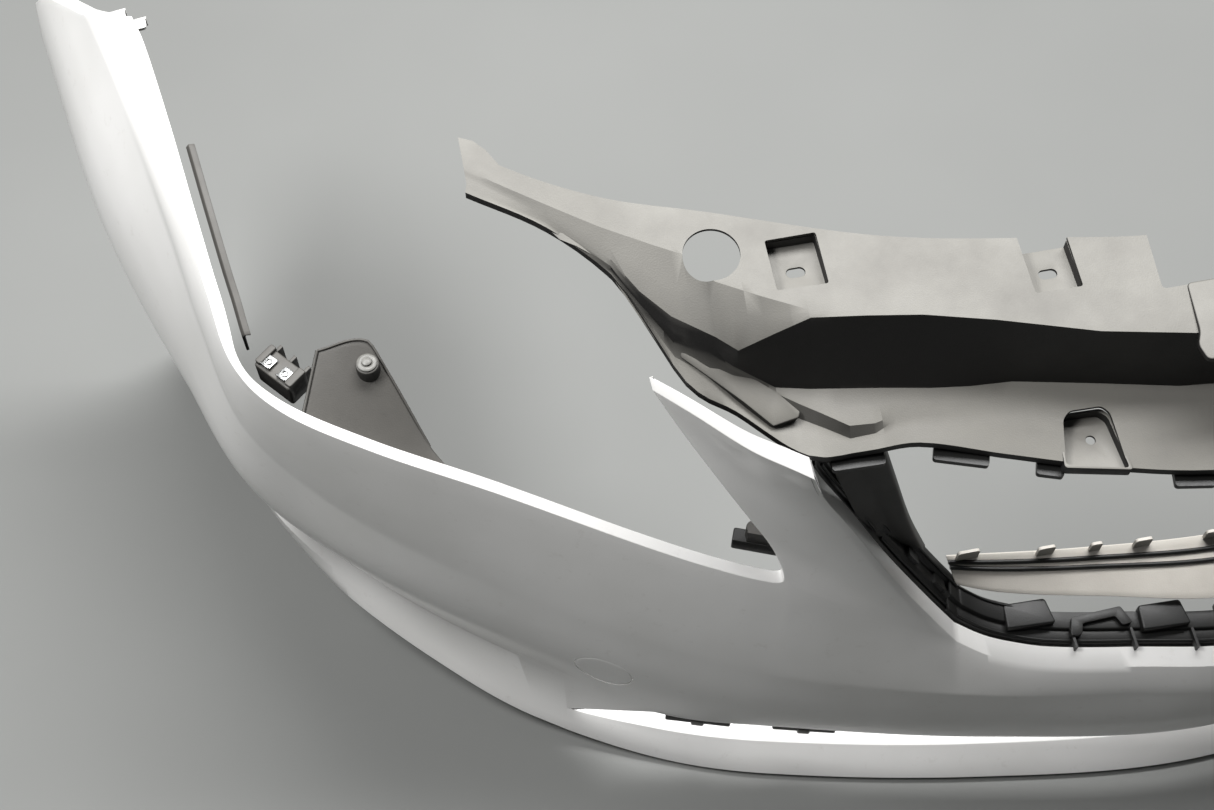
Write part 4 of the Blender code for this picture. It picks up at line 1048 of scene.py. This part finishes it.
def make_lower_frame():
    pieces = []
    paths = []
    spots = []
    block = round_outline([(-21, -10), (21, -12), (18, 11), (-19, 12)], 3, 4)
    arch = round_outline([(-27, 28), (-22, 44), (22, 46), (28, 30), (19, 29), (15, 38), (-14, 37),
                          (-17, 28)], 2, 3)
    for side in SIDES.values():
        pieces.append(rail("strip", 0, 2.5, 42, [(19.5, -9), (19.5, 6.5), (26, 7.5), (34, 8)], side))
        pieces.append(rail("rail", 1.72, 2.5, 22, [(26, 7), (30, 8), (31, 12), (44, 15), (48, 14)], side))
        pieces.append(rail("shelf", 0, 1.72, 24, [(30, 8), (31, 11), (46, 12)], side))
        paths.append(rail_path(0, 2.44, 44, 21.5, 7.2, side))
        paths.append(rail_path(1.75, 2.44, 16, 45, 15.8, side))
        # The block in the middle is made once.
        for away in FRAME_BLOCKS + ((0,) if side < 0 else ()):
            edge = on_line(SILL, away / 100) / MM
            pieces.append(raised("block", block, 7, 18, (side * away, edge.y + 41, edge.z), 0.0016, 3))
        edge = on_line(SILL, FRAME_ARCH / 100) / MM
        pieces.append(raised("arch", arch, 7, 16, (side * FRAME_ARCH, edge.y, edge.z), 0.0012, 2))
        for t in (0.22, 0.44, 0.95, 1.47):
            edge = side_point(t) + Vector((0, 0.022, 0.004))
            spots.append((flipped(edge, side), Vector((1, 0, 0)), Vector((0, 0, 1))))
    pieces.append(beads("frame_edges", paths, 0.0011, FRAME_PP))
    pieces.append(tabs("frame_ribs", spots, (0.0022, 0.018, 0.009), FRAME_PP, 0.0005))
    finish_joined("grille_carrier_lower", pieces, "grille_frame_lower")


def make_side_frame(name, side):
    section = [(18.5, -7), (18.5, 2), (26, 3.5), (30, 8), (42, 9)]
    pieces = [rail("web", 2.46, 3.4, 44, section, side),
              rail("lip", 2.46, 3.36, 40, [(40, 9), (44, 15), (52, 16)], side)]
    paths = [rail_path(2.46, 2.9, 16, 25, 4.5, side), rail_path(2.95, 3.36, 16, 24, 5.5, side),
             rail_path(2.46, 3.34, 30, 43, 15.5, side)]
    pieces.append(beads("edges", paths, 0.0012, FRAME_PP))
    spots = []
    for t in (2.56, 2.72, 2.9, 3.06, 3.22, 3.34):
        point, way = side_point(t) + Vector((0, 0.035, 0)), side_way(t)
        run = side_point(t + 0.04) - side_point(t - 0.04)
        spots.append([flipped(vector, side) for vector in (point + way * 0.006, run, way)])
    pieces.append(tabs("clips", spots, (0.016, 0.010, 0.0055), FRAME_PP, 0.0012))
    finish_joined("grille_carrier_side_" + name, pieces,
                  "grille_frame_side_" + name)


UPPER_FRAME_TABS = ((344, 40), (269, 41), (207, 20), (106, 30))     # distance from the centre, width


def make_upper_frame():
    columns = []
    for at in steps(0, 366, 60):
        point = on_line(SHROUD_FRONT, at)
        columns.append([shifted(point, 0, back, up) for back, up in ((4, -10.5), (20, -10.5), (20, -22))])
    rows = full_width(columns_to_rows(columns))
    pieces = [settle(sheet_piece("strip", rows, (0, 0, 1), FRAME_PP))]
    for away, width in UPPER_FRAME_TABS:
        point = on_line(SHROUD_FRONT, away)
        run = on_line(SHROUD_FRONT, away + 4) - on_line(SHROUD_FRONT, away - 4)
        place = Vector((point.x, point.y - 0.0005, point.z - 0.0145))
        level = Vector((run.x, run.y, 0))
        spots = [(flipped(place, side), flipped(level, side), Vector((0, 0, 1))) for side in SIDES.values()]
        pieces.append(tabs("tabs_%d" % away, spots, (width * MM, 0.015, 0.005), FRAME_PP, 0.0025))
    finish_joined("grille_carrier_upper", pieces, "grille_frame_upper")


# ---------------------------------------------------------------- air guides

GUIDE_FRONT = {0: (0, 70, 250), 120: (-120, 92, 250), 200: (-200, 110, 252), 250: (-250, 126, 262)}
GUIDE_REAR = {0: (0, 119, 275), 130: (-130, 128, 275), 250: (-257, 143, 278)}
GUIDE_TABS = ((14, 18), (77, 15), (117, 10), (158, 15), (220, 19))     # distance from the centre, width


def on_guide(at, v):
    """Point of the lower guide: v goes from its front edge to its rear edge."""
    return on_line(GUIDE_FRONT, at).lerp(on_line(GUIDE_REAR, at), v)


def make_lower_guide():
    half = steps(0, 236, 40)
    rows = full_width([[on_guide(at, v) for at in half] for v in steps(0, 1, 8)])
    pieces = [settle(sheet_piece("panel", rows, (0, 0, 1), GUIDE_PP, crease=0))]
    # Painted shade: black beads stand where the shade inside the panel's two grooves shows.
    for v in (0.60, 0.78):
        path = [shifted(on_guide(at, v), 0, 0, 0.4) for at in half]
        pieces.append(beads("groove_shade", full_width([path]), 0.0021, FRAME_PP))
    for away, width in GUIDE_TABS:
        point = on_line(GUIDE_REAR, away)
        place = Vector((point.x, point.y - 0.003, point.z + 0.0035))
        spots = [(flipped(place, side), Vector((1, 0, 0)), Vector((0, 1, 0))) for side in SIDES.values()]
        pieces.append(tabs("tabs_%d" % width, spots, (width * MM, 0.017, 0.0025), GUIDE_PP, 0.003))
    finish_joined("air_guide_panel", pieces, "lower_air_guide")


SIDE_GUIDE = {0: (-262, 138, 290), 1: (-284, 142, 352), 2: (-303, 150, 418), 3: (-322, 155, 486)}


def make_side_guide(name, side):
    columns = []
    for at in steps(0, 3, 24):
        inner = on_line(SIDE_GUIDE, at)
        columns.append([shifted(inner, -34 - at * 3, -4, 3), shifted(inner, -16 - at * 2, 3, 0), inner,
                        shifted(inner, 2, 12, 0)])
    rows = mirror_rows(columns_to_rows(columns), side)
    wall = settle(sheet_piece("wall", rows, (0, -0.3, 1), BRACKET_PP))
    finish_joined("air_guide_side_" + name, [wall], "side_air_guide_" + name)


# ---------------------------------------------------------------- brackets, rivets and nuts

BOSS = (-689, 319)
BOSS_TOP = 450
BOSS_RADIUS = 9.4
BOSS_HEIGHT = 18
BORE_RADIUS = 3.6                    # the rivet's shank and its play
BORE_LENGTH = 60                     # long enough to pass through boss and plate


def boss_disc(side, drop, radius, height, sides):
    """New bmesh of a disc on the rivet's axis, its middle that far under the boss's top."""
    mesh = bmesh.new()
    disc(mesh, (-side * BOSS[0], BOSS[1], BOSS_TOP - drop), radius, height, sides)
    return mesh


def make_headlight_bracket(name, side):
    front = [shifted(on_line(LAMP, at), 1, 7, -5.5) for at in steps(6.35, 7.75, 28)]
    far = {0: (-652, 262, 402), 0.4: (-676, 318, 440), 0.55: (-687, 338, 452), 1: (-726, 338, 449)}
    rear = [on_line(far, v) for v in steps(0, 1, 28)]
    rows = [[low.lerp(high, v) for low, high in zip(front, rear)] for v in steps(0, 1, 16)]
    plate = sheet_piece("plate", mirror_rows(rows, side), (0, 0, 1), BRACKET_PP, crease=0)
    carve(plate, boss_disc(side, 10, BORE_RADIUS, BORE_LENGTH, 32))
    settle(plate)
    ring = new_object("boss", boss_disc(side, BOSS_HEIGHT / 2, BOSS_RADIUS, BOSS_HEIGHT, 48), BRACKET_PP)
    carve(ring, boss_disc(side, 10, BORE_RADIUS, BORE_LENGTH, 32))
    rounded(ring, 0.0012, 3, 40)
    settle(ring)
    edge = [shifted(row[-1], 0, 0, 0.6) for row in rows]
    slant = [shifted(point, 0, 0, 0.4) for point in rear]
    pieces = [plate, ring, beads("edge", mirror_rows([edge], side), 0.0014, BRACKET_PP),
              beads("rear_edge", mirror_rows([slant], side), 0.0011, BRACKET_PP)]
    finish_joined("headlight_plate_" + name, pieces, "headlight_bracket_" + name)


TURNED_SIDES = 40


def turned(name, centre, profile, finish):
    """Body of revolution about a vertical axis, from (radius, height) pairs in millimetres."""
    mesh = bmesh.new()
    rows = []
    x, y, z = centre
    for radius, height in profile:
        rows.append([Vector((x + cos(angle) * radius, y + sin(angle) * radius, z + height)) * MM
                     for angle in steps(0, 2 * pi, TURNED_SIDES)])
    lay_grid(mesh, rows)
    bmesh.ops.remove_doubles(mesh, verts=mesh.verts, dist=WELD / 2)
    bmesh.ops.recalc_face_normals(mesh, faces=mesh.faces)
    return settle(new_object(name, mesh, finish), 40)


def make_rivet(name, side):
    centre = (-side * BOSS[0], BOSS[1], BOSS_TOP)
    sleeve = [(2.1, -12.5), (3.2, -12), (3.2, 0.4), (7.4, 0.4), (8, 0.9), (7.9, 1.5), (7, 2.1), (4.6, 2.2),
              (4.2, 1.9), (2.1, 1.9), (2.1, -12.5)]
    piece = turned("rivet_sleeve_" + name, centre, sleeve, NYLON)
    finish_piece(piece, "cover", "push_rivet_" + name)
    pin = [(0, -12), (1.4, -11.6), (1.7, -10.5), (1.7, 2.4), (3.4, 2.5), (3.8, 3), (3.7, 3.6), (2.8, 4.1),
           (0, 4.2)]
    piece = turned("rivet_centre_" + name, centre, pin, NYLON)
    finish_piece(piece, "pin_" + name, "rivet_pin_" + name)


CORNER_STATION = 8.5
CORNER_DEPTH = 29                    # from the skin's edge to the bracket's middle
CORNER_DROP = 17                     # from the skin's edge down to the bracket's middle
NUT_WIDTH = 9
NUT_LENGTH = 11
NUT_HOLE = 2.4


def edge_place(line, at, drop):
    """Place on a shape line: +X runs along it towards the wheel, +Y points into the bumper."""
    into = inward(line, at)
    along = into.cross(Vector((0, 0, -1)))
    turn = Matrix((along, into, Vector((0, 0, 1)))).transposed().to_4x4()
    return Matrix.Translation(shifted(on_line(line, at), 0, 0, -drop)) @ turn


def turned_prism(place, outline, low, high, side, name, finish, edge=0.001):
    """Prism laid at a place on the -X half, moved to its side and rounded."""
    mesh = prism(outline, low, high)
    bmesh.ops.transform(mesh, matrix=place, verts=mesh.verts)
    if side > 0:
        bmesh.ops.scale(mesh, vec=(-1, 1, 1), verts=mesh.verts)
    bmesh.ops.recalc_face_normals(mesh, faces=mesh.faces)
    made = new_object(name, mesh, finish)
    rounded(made, edge, 3, 40)
    return settle(made)


# Block and cheeks of the corner bracket: name, rectangle, corner radius, low, high and rounding.
CORNER_BLOCKS = (
    ("block", (-19, -10, 19, 10), 3, -13, 12, 0.0015),
    ("left_cheek", (-19, -8, -12, 10), 2, -6, 14.5, 0.001),
    ("right_cheek", (13, -8, 19, 11), 2, -6, 15.5, 0.001),
)


def make_corner_bracket(name, side):
    place = edge_place(LAMP, CORNER_STATION, CORNER_DROP)
    pieces = []
    for label, (left, near, right, far), corner, low, high, edge in CORNER_BLOCKS:
        outline = round_outline(rectangle(left, CORNER_DEPTH + near, right, CORNER_DEPTH + far), corner)
        pieces.append(turned_prism(place, outline, low, high, side, label, BRACKET_PP, edge))
    for away in (-15, 0, 15):
        outline = rectangle(away - 1.5, CORNER_DEPTH + 9, away + 1.5, CORNER_DEPTH + 17)
        pieces.append(turned_prism(place, outline, -12, 8, side, "fin", BRACKET_PP, 0.0005))
    finish_joined("corner_carrier_" + name, pieces, "corner_bracket_" + name)
    for index, away in enumerate((-8, 9), 1):
        make_speed_nut(name, side, index, place, (away, CORNER_DEPTH - 2))


def make_speed_nut(name, side, index, place, at):
    """Sheet-steel nut: a folded strip with a pressed ring on it; the hole inside the ring is not cut."""
    x, y = at
    pieces = []
    left, right, near = x - NUT_WIDTH / 2, x + NUT_WIDTH / 2, y - NUT_LENGTH / 2
    for label, far, corner, high in (("strip", y + NUT_LENGTH / 2, 1.2, 14.6), ("fold", y - 4.3, 0.4, 17)):
        outline = round_outline(rectangle(left, near, right, far), corner)
        pieces.append(turned_prism(place, outline, 13.4, high, side, label, ZINC, 0.0003))
    ring = [place @ (Vector((x + cos(angle) * NUT_HOLE, y + sin(angle) * NUT_HOLE, 15)) * MM)
            for angle in steps(0, 2 * pi, 20)]
    pieces.append(beads("ring", mirror_rows([ring], side), 0.0005, ZINC))
    finish_joined("steel_nut_%s_%d" % (name, index), pieces,
                  "speed_nut_%s_%d" % (name, index))


WING_SUPPORT_REACH = (9.4, 11.8)
WING_SUPPORT_AT = 18.4


def make_wing_support(name, side):
    columns = []
    for at in steps(*WING_SUPPORT_REACH, 40):
        wall = on_line(LAMP, at) + inward(LAMP, at) * WING_SUPPORT_AT * MM
        columns.append([shifted(wall, 4.5, 0, -8.5), shifted(wall, 1.2, 0, -7.6), shifted(wall, 0, 0, -9.5),
                        shifted(wall, 0, 0, -30)])
    rows = mirror_rows(columns_to_rows(columns), side)
    piece = sheet_piece("wing_strip_" + name, rows, (-side, 0, 0), BRACKET_PP, crease=0)
    finish_piece(settle(piece), "cover", "wing_support_" + name)


INNER_LAMP_AT = (-408, 157, 345)
INNER_LAMP_TURN = -22
INNER_LAMP_POST = (410, 160, 352)


def make_inner_lamp_bracket(name, side):
    turn = Matrix.Rotation(radians(INNER_LAMP_TURN), 4, "Z")
    place = Matrix.Translation(Vector(INNER_LAMP_AT) * MM) @ turn
    base = turned_prism(place, round_outline(rectangle(-19, -6, 19, 6), 2), -8, 8, side, "base",
                        FRAME_PP, 0.0012)
    web = turned_prism(place, round_outline([(-8, -5), (17, -5), (6, 4), (-6, 4)], 1.5), 8, 26, side, "web",
                       BRACKET_PP)
    profile = [(0, -16), (6.5, -16), (6.5, 15), (6, 16), (3.4, 16), (3.2, 10), (0, 10)]
    x, y, z = INNER_LAMP_POST
    post = turned("post", (side * x, y, z), profile, BRACKET_PP)
    finish_joined("lamp_corner_carrier_" + name, [base, web, post],
                  "inner_lamp_bracket_" + name)


SLOT_CLIPS = ((4.62, 60), (3.66, 58))   # station and width
SLOT_CLIP_DROP = 8.5


def make_slot_clip(name, side, index, station, width):
    place = edge_place(BAND, station, SLOT_CLIP_DROP)
    bar = turned_prism(place, round_outline(rectangle(-width / 2, 2, width / 2, 14), 2), -6.5, 6.5, side,
                       "bar", BRACKET_PP, 0.0012)
    tongue = turned_prism(place, round_outline(rectangle(-6, 1, 6, 12), 2.2), -10.5, 0, side, "tongue", NYLON)
    finish_joined("slot_hook_%s_%d" % (name, index), [bar, tongue],
                  "slot_clip_%s_%d" % (name, index))


# ---------------------------------------------------------------- camera, light and floor

# Name, place, the point that it faces, size in metres and power in watts.
SOFTBOXES = (
    ("overhead_softbox", (0.1, 0.8, 2.4), (0, 0.1, 0.1), (2.4, 0.7), 104),
    ("left_softbox", (-1.7, 0.15, 2.4), (-0.7, 0.0, 0.2), (0.9, 0.5), 50),
)
ROOM_LIGHT = 0.045
FLOOR_REACH = 12


def add_camera():
    data = bpy.data.cameras.new("camera")
    data.lens = CAMERA_LENS
    data.sensor_width = SENSOR_WIDTH
    camera = put("camera", data)
    camera.location = CAMERA_PLACE
    camera.rotation_euler = (radians(90 - CAMERA_PITCH), 0, radians(-CAMERA_YAW))
    bpy.context.scene.camera = camera


def area_light(name, place, target, size, power):
    data = bpy.data.lights.new(name, "AREA")
    data.shape = "RECTANGLE"
    data.size, data.size_y = size
    data.energy = power
    light = put(name, data)
    light.location = place
    light.rotation_euler = (Vector(target) - Vector(place)).to_track_quat("-Z", "Y").to_euler()


def add_studio():
    bpy.context.scene.view_settings.view_transform = "Standard"
    for softbox in SOFTBOXES:
        area_light(*softbox)
    world = bpy.data.worlds.new("studio")
    bpy.context.scene.world = world
    world.use_nodes = True
    back = world.node_tree.nodes["Background"]
    back.inputs["Color"].default_value = linear("#dfe2e6")
    back.inputs["Strength"].default_value = ROOM_LIGHT
    paper, tree, shader, place = new_material("floor_paper")
    cloud = node(tree, "ShaderNodeTexNoise", {"Scale": 1 / (400 * MM), "Detail": 3}, {"Vector": place})
    dress(tree, shader, tinted(tree, cloud.outputs[0], 0.3, 0.7, 1, "#868785", "#828381"), 0.85)
    mesh = bmesh.new()
    bmesh.ops.create_grid(mesh, x_segments=1, y_segments=1, size=FLOOR_REACH)
    mesh_object("floor", mesh, [paper])


def make_bumper():
    add_camera()
    surface = make_skin()
    make_tow_cover(surface)
    make_shroud()
    make_lower_frame()
    make_upper_frame()
    make_lower_guide()
    for name, side in SIDES.items():
        make_side_frame(name, side)
        make_side_guide(name, side)
        make_headlight_bracket(name, side)
        make_rivet(name, side)
        make_corner_bracket(name, side)
        make_wing_support(name, side)
        make_inner_lamp_bracket(name, side)
        for index, (station, width) in enumerate(SLOT_CLIPS, 1):
            make_slot_clip(name, side, index, station, width)
    add_studio()


make_bumper()
